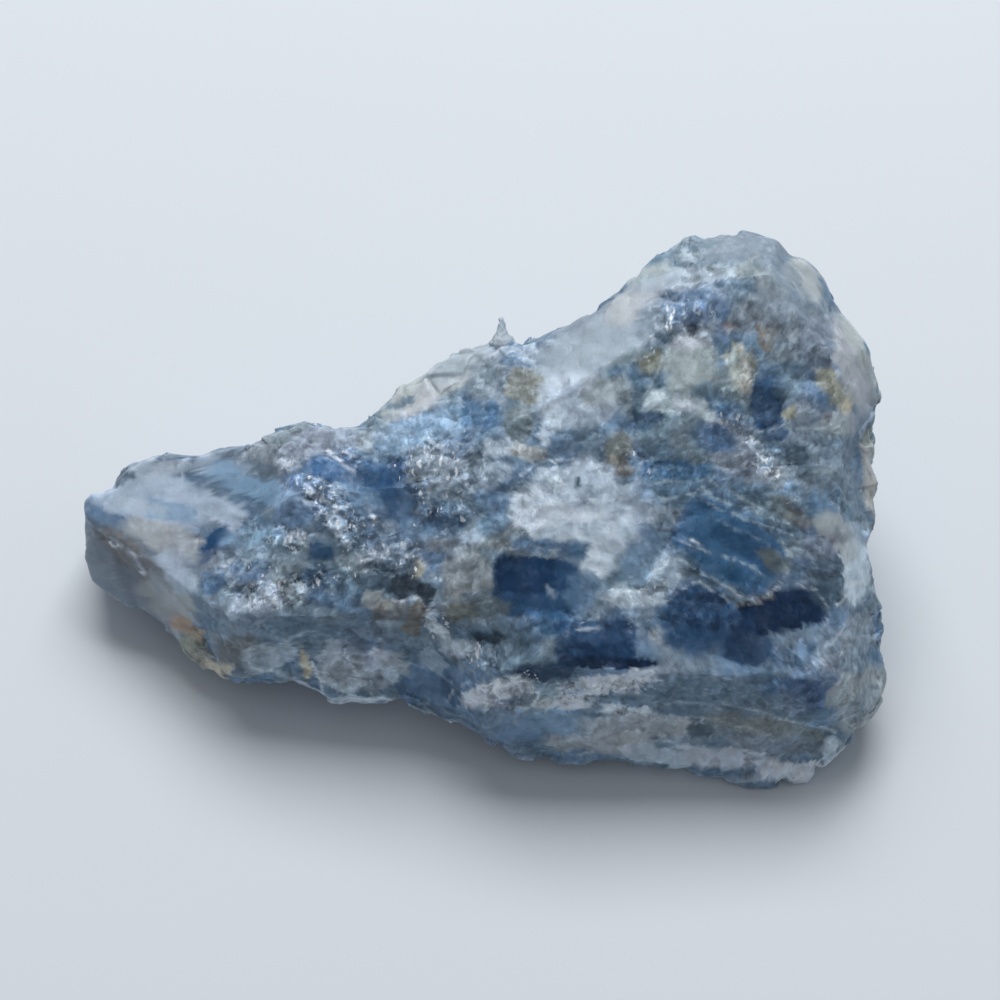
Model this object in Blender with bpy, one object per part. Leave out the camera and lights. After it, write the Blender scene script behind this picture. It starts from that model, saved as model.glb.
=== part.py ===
"""Blue calcite: one rough lump of massive blue calcite, broken along its cleavage on every side.

The lump lies on a small flat. Its broad face leans back and up from the surface that it lies on, so the form is
drawn in the frame of that face: across (+X), up the face, and out of the face. The rim of the face, the facets
cut on both sides of it and the hollows are the driving dimensions. Over them runs the cleavage: interlocking
grains, each broken into flat steps that share one direction.
"""

import math

import bpy
import numpy as np

MM = 0.001

# The frame of the broad face.
FACE_LEAN = math.radians(34.0)  # how far the face is turned up from level
FACE_ORIGIN_HEIGHT = 19.5  # mm, from the surface that the lump lies on up to the origin of the face frame
ACROSS = np.array((1.0, 0.0, 0.0))
UP_FACE = np.array((0.0, math.cos(FACE_LEAN), math.sin(FACE_LEAN)))
OUT = np.array((0.0, -math.sin(FACE_LEAN), math.cos(FACE_LEAN)))
HEART = np.array((7.0, -2.4, 0.0))  # mm, the point inside that the rim is measured from

# The rim of the broad face: (across, up the face) in mm, clockwise from the thin end.
RIM = (
    (-50.6, -0.4), (-49.7, 0.6), (-47.3, 1.4), (-47.2, 2.5), (-45.6, 4.2), (-43.7, 4.8), (-40.3, 5.5),
    (-36.8, 5.0), (-33.8, 5.8), (-31.3, 6.2), (-28.6, 7.6), (-25.8, 8.6), (-23.7, 9.2), (-20.4, 8.5),
    (-17.4, 8.9), (-15.0, 10.5), (-12.0, 13.4), (-9.3, 15.2), (-6.0, 17.6), (-3.6, 18.4), (-0.7, 19.1),
    (2.4, 18.9), (4.8, 19.4), (7.8, 20.8), (10.8, 22.5), (13.2, 24.2), (16.8, 27.4), (19.2, 29.6),
    (22.2, 31.3), (25.4, 31.2), (28.1, 32.1), (31.1, 32.0), (33.3, 31.0), (34.5, 29.0), (36.6, 28.6),
    (38.6, 26.2), (40.7, 22.6), (43.7, 19.1), (44.7, 16.2), (45.3, 13.2), (44.9, 9.6), (44.9, 4.4),
    (45.6, 1.8), (44.9, 0.0), (45.0, -3.6), (43.8, -5.4), (44.7, -10.8), (46.2, -16.0), (45.5, -17.4),
    (46.5, -21.6), (45.5, -24.0), (44.1, -26.3), (40.7, -29.8), (38.1, -32.3), (36.9, -34.1),
    (33.5, -34.1), (28.7, -34.0), (24.0, -32.9), (18.0, -32.1), (13.4, -31.6), (9.6, -32.0),
    (5.4, -31.3), (2.2, -31.6), (0.0, -29.9), (-3.6, -27.7), (-7.2, -25.9), (-12.0, -23.8),
    (-15.6, -24.3), (-20.1, -24.3), (-22.8, -22.6), (-25.2, -21.8), (-28.9, -21.8), (-33.7, -21.8),
    (-36.4, -20.3), (-39.5, -17.0), (-42.6, -14.6), (-46.3, -12.2), (-49.5, -9.8), (-50.5, -7.3),
    (-51.0, -2.4),
)

RIM_INSET = 0.5  # mm, the form is drawn this far inside the rim, which the cleavage steps then reach

# The lump before it is cut: how far it swells on each side of the rim.
SWELL_OUT = 14.0  # mm, on the side of the broad face
SWELL_BACK = 27.0  # mm, on the side that it lies on
SWELL_POWER = 2.6  # 2 is round, higher is boxier
SPREAD = np.array((46.0, 30.0, 20.0))  # mm, half sizes used to space the mesh evenly

# The thin arm falls away from the broad face.
ARM_START = -8.0  # mm across, where it begins to fall
ARM_END = -50.0
ARM_FALL = 9.0  # mm, at its end
ARM_FALL_POWER = 1.3

# The line inside the lump that everything is cut towards: (across, up the face, out) in mm.
SPINE = ((-42.0, -6.5, -9.5), (-28.0, -6.5, -5.5), (-12.0, -5.0, -1.5), (7.0, -2.4, 0.0), (34.0, -2.0, 0.0))
SPINE_SHARE = 0.74  # how far along the spine a point looks for its anchor, of its own distance from the heart

# Facets: a point on each in the frame of the face (across, up the face, out) in mm, its outward direction, and
# how far round that point it reaches.
FACETS = (
    ("broad face", (13.0, -4.0, 10.4), (0.05, 0.06, 1.0), 30.0),
    ("broad face, left", (-14.0, -4.0, 8.2), (-0.18, -0.02, 0.98), 16.0),
    ("front band", (7.0, -24.0, 7.6), (0.0, -0.66, 0.75), 20.0),
    ("front band, right", (33.0, -26.0, 6.4), (0.22, -0.68, 0.70), 13.0),
    ("right side", (42.5, -4.0, 4.4), (0.84, 0.02, 0.54), 26.0),
    ("upper right", (38.5, 20.0, 5.6), (0.60, 0.44, 0.67), 12.0),
    ("top", (25.0, 28.0, 5.6), (-0.05, 0.70, 0.71), 13.0),
    ("upper left slope", (8.0, 16.0, 7.2), (-0.30, 0.58, 0.76), 17.0),
    ("arm, upper slope", (-24.0, 4.5, 3.8), (-0.20, 0.56, 0.80), 15.0),
    ("arm, front", (-22.0, -17.5, 3.6), (-0.10, -0.60, 0.79), 14.0),
    ("end block, top", (-43.0, -1.5, -4.0), (-0.34, 0.24, 0.91), 13.0),
    ("end block, end", (-44.6, -7.6, -5.4), (-0.66, -0.52, 0.54), 13.0),
)
# Facets of the hidden side, the same way but with x, y, z from the surface that the lump lies on.
UNDERSIDE_FACETS = (
    ("back", (16.0, 30.5, 22.0), (-0.12, 0.97, 0.20), 30.0),
    ("back, upper left", (-10.0, 21.0, 14.0), (-0.46, 0.88, 0.10), 20.0),
    ("back, low", (14.0, 28.0, 6.0), (-0.10, 0.80, -0.58), 30.0),
    ("right end, low", (43.0, 4.0, 6.0), (0.86, 0.12, -0.50), 30.0),
    ("front, low", (20.0, -28.0, 1.5), (0.05, -0.72, -0.69), 24.0),
    ("front, under the arm", (-14.0, -17.0, 3.5), (-0.16, -0.52, -0.84), 20.0),
    ("arm, underside", (-26.0, 4.0, 0.4), (-0.16, -0.06, -0.98), 34.0),
    ("arm, back", (-30.0, 15.0, 8.0), (-0.14, 0.95, -0.28), 20.0),
)
RIM_GUARD = 3.0  # mm either side of the rim over which the facets fade out, so that they never notch it

# Hollows and swellings: (across, up the face, out) in mm, radius, height out of the surface.
HOLLOWS = (
    ((-9.0, -1.0, 9.0), 7.0, -1.2),
    ((-17.0, 4.0, 7.0), 4.5, -1.4),
    ((34.0, -13.0, 10.0), 6.0, -1.3),
    ((-2.0, -16.0, 9.5), 4.0, -1.3),
    ((9.0, 1.5, 10.5), 8.0, 1.1),
    ((41.5, 4.5, 4.0), 4.0, -1.6),
    ((22.0, 13.0, 10.0), 6.5, 0.9),
    ((-4.0, -23.5, 6.0), 5.0, 1.2),
)

# Grains of the broad face that read as single flat breaks: across and up the face, reach in mm, outward
# direction, height of their steps in mm.
FLAT_GRAINS = (
    ((-32.0, 2.4), 5.0, (-0.14, 0.36, 0.92), 4.0),
    ((-43.5, -2.0), 5.5, (-0.30, 0.26, 0.92), 4.0),
    ((-38.5, -4.0), 4.5, (-0.22, 0.12, 0.97), 4.0),
    ((-44.0, -9.0), 7.0, (-0.68, -0.50, 0.53), 4.0),
    ((-34.2, -5.0), 3.6, (-0.12, -0.04, 0.99), 3.0),
    ((-14.0, 2.0), 5.5, (-0.05, 0.40, 0.91), 3.0),
    ((-21.5, 5.0), 4.0, (-0.34, 0.26, 0.90), 2.0),
    ((5.5, -10.5), 6.5, (0.10, 0.24, 0.97), 3.0),
    ((28.0, -4.5), 6.5, (-0.22, 0.16, 0.96), 3.0),
    ((34.5, -13.5), 5.5, (0.14, 0.30, 0.94), 3.0),
    ((27.5, -14.5), 5.0, (-0.16, 0.05, 0.98), 3.0),
    ((13.0, -19.4), 4.5, (0.02, -0.06, 0.99), 3.0),
    ((11.0, 4.0), 7.0, (0.04, -0.12, 0.99), 2.4),
    ((22.5, 15.5), 4.6, (-0.24, 0.20, 0.95), 3.0),
    ((22.0, 22.5), 5.0, (0.18, 0.24, 0.95), 3.0),
    ((31.0, 15.0), 3.4, (0.30, 0.10, 0.95), 2.4),
    ((8.0, 18.0), 6.0, (-0.32, 0.52, 0.79), 4.0),
    ((-9.0, -22.0), 4.5, (-0.10, -0.50, 0.86), 3.0),
    ((-2.0, -23.8), 4.0, (-0.26, -0.50, 0.83), 1.6),
    ((12.5, -26.5), 6.0, (0.02, -0.80, 0.60), 3.0),
    ((28.0, -28.0), 6.0, (0.12, -0.76, 0.64), 3.0),
    ((42.5, -8.0), 4.5, (0.80, 0.10, 0.60), 3.0),
    ((42.8, -22.0), 5.0, (0.76, -0.36, 0.54), 3.0),
    ((35.0, 27.0), 4.0, (0.44, 0.50, 0.75), 3.0),
)

# Cleavage of all the other grains.
SEED = 41
GRAIN_COUNT = 330
GRAIN_SPACING = 4.4  # mm, the least distance between two grains
GRAIN_REACH = (0.0, 2.6)  # mm, small and large grains
GRAIN_TILT = math.radians(24.0)  # most that a grain's flats turn from the form under them
STEP_HEIGHT = (0.9, 2.2)  # mm, between two flats of one grain
STEP_LIMIT = 1.5  # mm, most that a flat stands out of the form or goes into it
BLOCK_SIZE = (2.2, 3.6)  # the sides of a grain's blocks, in step heights
BLOCK_SLANT = 0.27  # calcite breaks into slanted blocks, not square ones
RIM_CALM = 3.5  # mm, how close to the rim the steps are held back
RIM_KEEP = 0.35  # the share of them kept on the rim

# The mesh.
GRID = 170  # points along each side of the two grids
TRIANGLES = 9600
FOOT_SNAP = 0.35  # mm, everything lower than this belongs to the foot
FLAT_EDGE = math.radians(18.0)  # edges sharper than this stay sharp

CALCITE_BLUE = (0.20, 0.30, 0.45, 1.0)
CALCITE_ROUGHNESS = 0.42
CALCITE_IOR = 1.6


def clear_scene():
    """Remove whatever the new file starts with."""
    for scene_object in list(bpy.data.objects):
        bpy.data.objects.remove(scene_object, do_unlink=True)


def unit(vectors):
    """Give each vector the length one."""
    return vectors / np.linalg.norm(vectors, axis=-1, keepdims=True)


def to_world(points):
    """Turn points from the frame of the face to the frame of the surface that the lump lies on."""
    turned = points[..., 0:1] * ACROSS + points[..., 1:2] * UP_FACE + points[..., 2:3] * OUT
    return turned + np.array((0.0, 0.0, FACE_ORIGIN_HEIGHT))


def to_face(points):
    """Turn points from the frame of the surface that the lump lies on to the frame of the face."""
    moved = points - np.array((0.0, 0.0, FACE_ORIGIN_HEIGHT))
    return np.stack((moved @ ACROSS, moved @ UP_FACE, moved @ OUT), axis=-1)


def directions_of_half(side):
    """Spread a square grid over one half of a ball: side is 1 for the broad face and -1 for the hidden side."""
    line = np.linspace(-1.0, 1.0, GRID)
    a, b = np.meshgrid(line, line, indexing="ij")
    x = a * np.sqrt(1.0 - b * b / 2.0)
    y = b * np.sqrt(1.0 - a * a / 2.0)
    from_middle = np.hypot(x, y)
    turn = np.arctan2(y, x)
    polar = from_middle * math.pi / 2.0
    ball = np.stack((np.sin(polar) * np.cos(turn), np.sin(polar) * np.sin(turn), side * np.cos(polar)), axis=-1)
    return unit(ball * SPREAD)


def swollen_rim(directions):
    """Swell the rim to both sides: a ball of the given power whose waist is the rim."""
    rim = np.array(RIM) - HEART[:2]
    rim_turn = np.arctan2(rim[:, 1], rim[:, 0])
    rim_reach = np.hypot(rim[:, 0], rim[:, 1])
    turn = np.arctan2(directions[..., 1], directions[..., 0])
    reach = np.interp(turn, *sorted_pair(rim_turn, rim_reach), period=2.0 * math.pi)
    level = np.hypot(directions[..., 0], directions[..., 1])
    swell = np.where(directions[..., 2] > 0.0, SWELL_OUT, SWELL_BACK)
    sum_of_powers = (level / (reach - RIM_INSET)) ** SWELL_POWER + (np.abs(directions[..., 2]) / swell) ** SWELL_POWER
    return HEART + directions * (sum_of_powers ** (-1.0 / SWELL_POWER))[..., None]


def sorted_pair(keys, values):
    """Put two rows of numbers in the order of the first."""
    order = np.argsort(keys)
    return keys[order], values[order]


def drop_arm(points):
    """Let the thin arm fall away from the broad face, more towards its end."""
    along = np.clip((ARM_START - points[..., 0]) / (ARM_START - ARM_END), 0.0, None)
    dropped = points.copy()
    dropped[..., 2] -= ARM_FALL * along ** ARM_FALL_POWER
    return dropped


def anchors(points):
    """The point of the spine that each point of the surface is cut towards."""
    spine = np.array(SPINE)
    across = HEART[0] + SPINE_SHARE * (points[..., 0] - HEART[0])
    return np.stack([np.interp(across, spine[:, 0], spine[:, k]) for k in (0, 1, 2)], axis=-1)


def cut_by_plane(points, plane_point, outward, weight=1.0):
    """Pull what is beyond a plane back to it, straight towards the spine; weight is the share of the way."""
    anchor = anchors(points)
    from_anchor = points - anchor
    beyond = from_anchor @ outward
    allowed = np.maximum((plane_point - anchor) @ outward, 0.5)
    share = np.where(beyond > allowed, allowed / np.maximum(beyond, 1e-9), 1.0)
    return anchor + from_anchor * (1.0 + (share - 1.0) * weight)[..., None]


def soft_step(values):
    """Rise smoothly from nothing at zero to one at one."""
    held = np.clip(values, 0.0, 1.0)
    return held * held * (3.0 - 2.0 * held)


def cut_facets(points):
    """Cut all the large facets, each within its reach and clear of the rim."""
    guard = soft_step(rim_distance(points) / RIM_GUARD)
    cuts = [(np.array(place), unit(np.array(outward)), reach) for _, place, outward, reach in FACETS]
    for _, place, outward, reach in UNDERSIDE_FACETS:
        face_place = to_face(np.array(place))
        face_outward = to_face(np.array(place) + np.array(outward)) - face_place
        cuts.append((face_place, unit(face_outward), reach))
    for place, outward, reach in cuts:
        distance = np.linalg.norm(points - place, axis=-1)
        weight = guard * soft_step(2.2 - 1.2 * distance / reach)
        points = cut_by_plane(points, place, outward, weight)
    return points


def smooth(values, rounds):
    """Average each point of a grid with its four neighbours."""
    for _ in range(rounds):
        padded = np.pad(values, ((1, 1), (1, 1), (0, 0)), mode="edge")
        values = 0.2 * (
            values + padded[:-2, 1:-1] + padded[2:, 1:-1] + padded[1:-1, :-2] + padded[1:-1, 2:]
        )
    return values


def outward_normals(points):
    """Directions square to the form, blended along the rim so that both halves agree there."""
    along_a = np.gradient(points, axis=0)
    along_b = np.gradient(points, axis=1)
    normals = np.cross(along_a, along_b)
    normals = normals / np.maximum(np.linalg.norm(normals, axis=-1, keepdims=True), 1e-9)
    from_spine = unit(points - anchors(points))
    outwards = np.sum(normals * from_spine, axis=-1, keepdims=True)
    normals = normals * np.sign(np.where(np.abs(outwards) < 1e-9, 1.0, outwards))
    normals = unit(smooth(normals, 14) + 0.12 * from_spine)
    in_rim_plane = unit(from_spine * np.array((1.0, 1.0, 0.15)))
    closeness = edge_closeness(points.shape[0], 16)[..., None]
    return unit(normals * (1.0 - closeness) + in_rim_plane * closeness)


def edge_closeness(size, reach):
    """One on the border of a grid, falling to nothing a few points inside it."""
    line = np.arange(size)
    from_edge = np.minimum(line, size - 1 - line)
    from_border = np.minimum(from_edge[:, None], from_edge[None, :])
    return np.clip(1.0 - from_border / reach, 0.0, 1.0) ** 1.5


def push_hollows(points, normals):
    """Sink the hollows and raise the swellings."""
    moved = points.copy()
    for middle, radius, height in HOLLOWS:
        distance = np.linalg.norm(points - np.array(middle), axis=-1)
        moved += normals * (height * np.exp(-((distance / radius) ** 2)))[..., None]
    return moved


def wave_noise(points, length, seed):
    """A smooth uneven field between about -1 and 1: eighteen waves in random directions."""
    random = np.random.default_rng(seed)
    waves = random.normal(size=(18, 3)) * (2.0 * math.pi / length / 1.7)
    phases = random.uniform(0.0, 2.0 * math.pi, 18)
    return np.sin(points @ waves.T + phases).sum(axis=-1) / 5.0


def place_grains(points, normals, broad_face):
    """Choose the grains: the flat ones given above, then seeded ones at least GRAIN_SPACING apart."""
    random = np.random.default_rng(SEED)
    centres = [point_on_face(broad_face, grain[0]) for grain in FLAT_GRAINS]
    reaches = [grain[1] for grain in FLAT_GRAINS]
    outwards = [unit(np.array(grain[2])) for grain in FLAT_GRAINS]
    steps = [grain[3] for grain in FLAT_GRAINS]
    all_points = points.reshape(-1, 3)
    all_normals = normals.reshape(-1, 3)
    wanted = len(centres) + GRAIN_COUNT
    for choice in random.integers(0, len(all_points), 6000):
        if len(centres) == wanted:
            break
        point = all_points[choice]
        gaps = np.linalg.norm(np.array(centres) - point, axis=1) - 0.6 * np.array(reaches)
        if gaps.min() < GRAIN_SPACING:
            continue
        lean = random.normal(size=3)
        lean -= all_normals[choice] * (lean @ all_normals[choice])
        tilt = GRAIN_TILT * math.sqrt(random.uniform(0.0, 1.0))
        centres.append(point)
        reaches.append(random.uniform(*GRAIN_REACH))
        outwards.append(all_normals[choice] * math.cos(tilt) + unit(lean) * math.sin(tilt))
        steps.append(random.uniform(*STEP_HEIGHT))
    return np.array(centres), np.array(reaches), np.array(outwards), np.array(steps)


def point_on_face(broad_face, place):
    """The point of the broad face that is seen at a place of its frame."""
    flat = broad_face.reshape(-1, 3)
    return flat[np.argmin(np.hypot(flat[:, 0] - place[0], flat[:, 1] - place[1]))]


def nearest_grain(points, centres, reaches):
    """The grain that each point belongs to; a grain with a long reach takes more room."""
    warped = points + 0.7 * np.stack([wave_noise(points, 6.0, SEED + k) for k in (1, 2, 3)], axis=-1)
    flat = warped.reshape(-1, 3)
    owner = np.empty(len(flat), dtype=int)
    for start in range(0, len(flat), 8192):
        part = flat[start:start + 8192]
        squared = (part ** 2).sum(axis=1)[:, None] - 2.0 * part @ centres.T + (centres ** 2).sum(axis=1)
        owner[start:start + 8192] = np.argmin(squared - reaches ** 2, axis=1)
    return owner.reshape(points.shape[:-1])


def cleave(points, normals, grains):
    """Break the form into flats that follow each grain's cleavage, with straight-sided steps between them.

    A point is moved along the normal to one of its grain's parallel cleavage planes. Which one is read from the
    form at the middle of the block that the point is in; the blocks are a slanted grid in the cleavage plane.
    """
    centres, reaches, outwards, steps = grains
    owner = nearest_grain(points, centres, reaches)
    outward = outwards[owner]
    step = steps[owner]
    facing = np.maximum(np.sum(outward * normals, axis=-1), 0.5)
    first = unit(np.cross(outward, block_axes(len(centres))[owner]))
    second = unit(np.cross(outward, first) + BLOCK_SLANT * first)
    offset = points - centres[owner]
    to_middle = block_shift(offset, first, BLOCK_SIZE[0] * step) + block_shift(offset, second, BLOCK_SIZE[1] * step)
    depth = np.sum(outward * offset, axis=-1)
    depth_at_middle = depth - np.sum(to_middle * normals, axis=-1) / facing
    level = step * np.round(depth_at_middle / step)
    stepped = np.clip((level - depth) / facing, -STEP_LIMIT, STEP_LIMIT)
    calm = RIM_KEEP + (1.0 - RIM_KEEP) * np.clip(rim_distance(points) / RIM_CALM, 0.0, 1.0)
    return points + normals * (stepped * calm)[..., None]


def block_axes(count):
    """A seeded direction for each grain that its blocks are lined up with."""
    return unit(np.random.default_rng(SEED + 11).normal(size=(count, 3)))


def block_shift(offset, axis, size):
    """The move along an axis from each point to the middle of its block."""
    along = np.sum(offset * axis, axis=-1)
    return axis * (size * np.round(along / size) - along)[..., None]


def rim_distance(points):
    """How far a point is from the plane of the rim, with the fall of the arm taken off."""
    along = np.clip((ARM_START - points[..., 0]) / (ARM_START - ARM_END), 0.0, None)
    return np.abs(points[..., 2] + ARM_FALL * along ** ARM_FALL_POWER)


def flatten_foot(points):
    """Cut the lump by the surface that it lies on."""
    origin = to_face(np.zeros(3))
    return cut_by_plane(points, origin, origin - to_face(np.array((0.0, 0.0, 1.0))))


def lump_halves():
    """Both halves of the surface as grids of points, in the frame of the face."""
    halves = []
    for side in (1.0, -1.0):
        points = cut_facets(drop_arm(swollen_rim(directions_of_half(side))))
        normals = outward_normals(points)
        halves.append((push_hollows(points, normals), normals))
    every_point = np.concatenate([points for points, _ in halves])
    every_normal = np.concatenate([normals for _, normals in halves])
    grains = place_grains(every_point, every_normal, halves[0][0])
    return [flatten_foot(cleave(points, normals, grains)) for points, normals in halves]


def join_halves(front, back):
    """Number the points of both grids, with one shared border, and lay two triangles in every cell."""
    size = front.shape[0]
    front_index = np.arange(size * size).reshape(size, size)
    back_index = front_index.copy()
    inside = np.zeros((size, size), dtype=bool)
    inside[1:-1, 1:-1] = True
    back_index[inside] = size * size + np.arange(inside.sum())
    points = np.concatenate((front.reshape(-1, 3), back[inside]))
    return points, np.concatenate((cell_triangles(front_index), cell_triangles(back_index)[:, ::-1]))


def cell_triangles(index):
    """Two triangles in every cell, with the diagonal running outwards from the middle of the grid."""
    a, b = index[:-1, :-1], index[1:, :-1]
    c, d = index[1:, 1:], index[:-1, 1:]
    line = np.arange(index.shape[0] - 1) - (index.shape[0] - 2) / 2.0
    outward_is_ac = (line[:, None] * line[None, :]) > 0.0
    first = np.where(outward_is_ac[..., None], np.stack((a, b, c), -1), np.stack((a, b, d), -1))
    second = np.where(outward_is_ac[..., None], np.stack((a, c, d), -1), np.stack((b, c, d), -1))
    return np.concatenate((first.reshape(-1, 3), second.reshape(-1, 3)))


def calcite_material():
    """Plain cloudy blue calcite."""
    material = bpy.data.materials.new("calcite")
    material.use_nodes = True
    principled = material.node_tree.nodes["Principled BSDF"]
    principled.inputs["Base Color"].default_value = CALCITE_BLUE
    principled.inputs["Roughness"].default_value = CALCITE_ROUGHNESS
    principled.inputs["IOR"].default_value = CALCITE_IOR
    return material


def settle_foot(mesh):
    """Bring the foot to one exact plane at the origin's height, and centre the lump's length and depth."""
    places = np.empty(len(mesh.vertices) * 3)
    mesh.vertices.foreach_get("co", places)
    places = places.reshape(-1, 3)
    places[:, :2] -= (places[:, :2].min(axis=0) + places[:, :2].max(axis=0)) / 2.0
    places[places[:, 2] < FOOT_SNAP * MM, 2] = 0.0
    mesh.vertices.foreach_set("co", places.ravel())
    mesh.update()


def make_lump():
    """Make the lump, thin its mesh to few triangles and settle it on its foot."""
    points, triangles = join_halves(*lump_halves())
    fine_mesh = bpy.data.meshes.new("calcite_lump_fine")
    fine_mesh.from_pydata((to_world(points) * MM).tolist(), [], triangles.tolist())
    lump = bpy.data.objects.new("calcite_lump", fine_mesh)
    bpy.context.scene.collection.objects.link(lump)
    thin = lump.modifiers.new("fewer_triangles", "DECIMATE")
    thin.ratio = TRIANGLES / len(triangles)
    graph = bpy.context.evaluated_depsgraph_get()
    mesh = bpy.data.meshes.new_from_object(lump.evaluated_get(graph))
    lump.modifiers.clear()
    lump.data = mesh
    bpy.data.meshes.remove(fine_mesh)
    mesh.name = "calcite_lump"
    settle_foot(mesh)
    mesh.shade_smooth()
    mesh.set_sharp_from_angle(angle=FLAT_EDGE)
    mesh.materials.append(calcite_material())
    return lump


clear_scene()
make_lump()
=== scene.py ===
"""Blue calcite: the finely cleaved surface of the lump, its cloudy blue material, and the studio it lies in."""

import math

import bpy
import numpy as np
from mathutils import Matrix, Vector


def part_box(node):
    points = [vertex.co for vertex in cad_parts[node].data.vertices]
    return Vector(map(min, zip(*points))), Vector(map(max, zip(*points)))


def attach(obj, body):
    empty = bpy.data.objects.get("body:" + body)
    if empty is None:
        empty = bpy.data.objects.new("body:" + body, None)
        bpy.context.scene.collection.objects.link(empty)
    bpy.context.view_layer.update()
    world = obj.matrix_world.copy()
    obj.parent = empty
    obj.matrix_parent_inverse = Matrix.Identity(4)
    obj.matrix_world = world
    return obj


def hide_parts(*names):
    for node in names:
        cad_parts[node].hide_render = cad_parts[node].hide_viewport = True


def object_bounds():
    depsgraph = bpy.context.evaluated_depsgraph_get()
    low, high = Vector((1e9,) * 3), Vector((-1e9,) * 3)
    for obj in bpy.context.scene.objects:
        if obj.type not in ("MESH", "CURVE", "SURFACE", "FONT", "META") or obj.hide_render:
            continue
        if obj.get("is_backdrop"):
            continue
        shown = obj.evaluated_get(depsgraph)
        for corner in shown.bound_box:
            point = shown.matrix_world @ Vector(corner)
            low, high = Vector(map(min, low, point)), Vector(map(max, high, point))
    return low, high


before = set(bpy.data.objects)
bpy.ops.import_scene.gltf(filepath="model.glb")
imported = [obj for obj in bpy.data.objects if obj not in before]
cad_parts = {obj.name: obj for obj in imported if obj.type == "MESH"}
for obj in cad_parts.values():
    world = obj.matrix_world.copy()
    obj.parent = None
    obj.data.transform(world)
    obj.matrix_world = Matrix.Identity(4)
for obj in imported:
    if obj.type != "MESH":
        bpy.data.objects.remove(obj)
cad_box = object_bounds()

bl_info = {
    "name": "Blue Calcite",
    "version": (1, 0, 0),
    "blender": (4, 5, 0),
    "location": "3D View > Sidebar > Calcite",
    "description": "Builds a rough lump of cloudy blue calcite with fine cleavage, on a pale studio floor",
    "category": "Object",
}

MM = 0.001

# The frame of the broad face.
FACE_LEAN = math.radians(34.0)  # how far the face is turned up from level
FACE_ORIGIN_HEIGHT = 19.5  # mm above the floor, the origin of the face's frame
ACROSS = np.array((1.0, 0.0, 0.0))
UP_FACE = np.array((0.0, math.cos(FACE_LEAN), math.sin(FACE_LEAN)))
OUT = np.array((0.0, -math.sin(FACE_LEAN), math.cos(FACE_LEAN)))
HEART = np.array((7.0, -2.4, 0.0))  # mm, the point inside that the rim is measured from

# The rim of the broad face: (across, up the face) in mm, clockwise from the thin end.
RIM = (
    (-50.6, -0.4), (-49.7, 0.6), (-47.3, 1.4), (-47.2, 2.5), (-45.6, 4.2), (-43.7, 4.8), (-40.3, 5.5),
    (-36.8, 5.0), (-33.8, 5.8), (-31.3, 6.2), (-28.6, 7.6), (-25.8, 8.6), (-23.7, 9.2), (-20.4, 8.5),
    (-17.4, 8.9), (-15.0, 10.5), (-12.0, 13.4), (-9.3, 15.2), (-6.0, 17.6), (-3.6, 18.4), (-0.7, 19.1),
    (2.4, 18.9), (4.8, 19.4), (7.8, 20.8), (10.8, 22.5), (13.2, 24.2), (16.8, 27.4), (19.2, 29.6),
    (22.2, 31.3), (25.4, 31.2), (28.1, 32.1), (31.1, 32.0), (33.3, 31.0), (34.5, 29.0), (36.6, 28.6),
    (38.6, 26.2), (40.7, 22.6), (43.7, 19.1), (44.7, 16.2), (45.3, 13.2), (44.9, 9.6), (44.9, 4.4),
    (45.6, 1.8), (44.9, 0.0), (45.0, -3.6), (43.8, -5.4), (44.7, -10.8), (46.2, -16.0), (45.5, -17.4),
    (46.5, -21.6), (45.5, -24.0), (44.1, -26.3), (40.7, -29.8), (38.1, -32.3), (36.9, -34.1),
    (33.5, -34.1), (28.7, -34.0), (24.0, -32.9), (18.0, -32.1), (13.4, -31.6), (9.6, -32.0),
    (5.4, -31.3), (2.2, -31.6), (0.0, -29.9), (-3.6, -27.7), (-7.2, -25.9), (-12.0, -23.8),
    (-15.6, -24.3), (-20.1, -24.3), (-22.8, -22.6), (-25.2, -21.8), (-28.9, -21.8), (-33.7, -21.8),
    (-36.4, -20.3), (-39.5, -17.0), (-42.6, -14.6), (-46.3, -12.2), (-49.5, -9.8), (-50.5, -7.3),
    (-51.0, -2.4),
)

RIM_INSET = 0.5  # mm, the form is drawn this far inside the rim, which the cleavage steps then reach

# The lump before it is cut: how far it swells on each side of the rim.
SWELL_OUT = 14.0  # mm, on the side of the broad face
SWELL_BACK = 27.0  # mm, on the side that it lies on
SWELL_POWER = 2.6  # 2 is round, higher is boxier
SPREAD = np.array((46.0, 30.0, 20.0))  # mm, half sizes used to space the mesh evenly

# The thin arm falls away from the broad face.
ARM_START = -8.0  # mm across, where it begins to fall
ARM_END = -50.0
ARM_FALL = 9.0  # mm, at its end
ARM_FALL_POWER = 1.3

# The line inside the lump that everything is cut towards: (across, up the face, out) in mm.
SPINE = ((-42.0, -6.5, -9.5), (-28.0, -6.5, -5.5), (-12.0, -5.0, -1.5), (7.0, -2.4, 0.0), (34.0, -2.0, 0.0))
SPINE_SHARE = 0.74  # how far along the spine a point looks for its anchor, of its own distance from the heart

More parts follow.
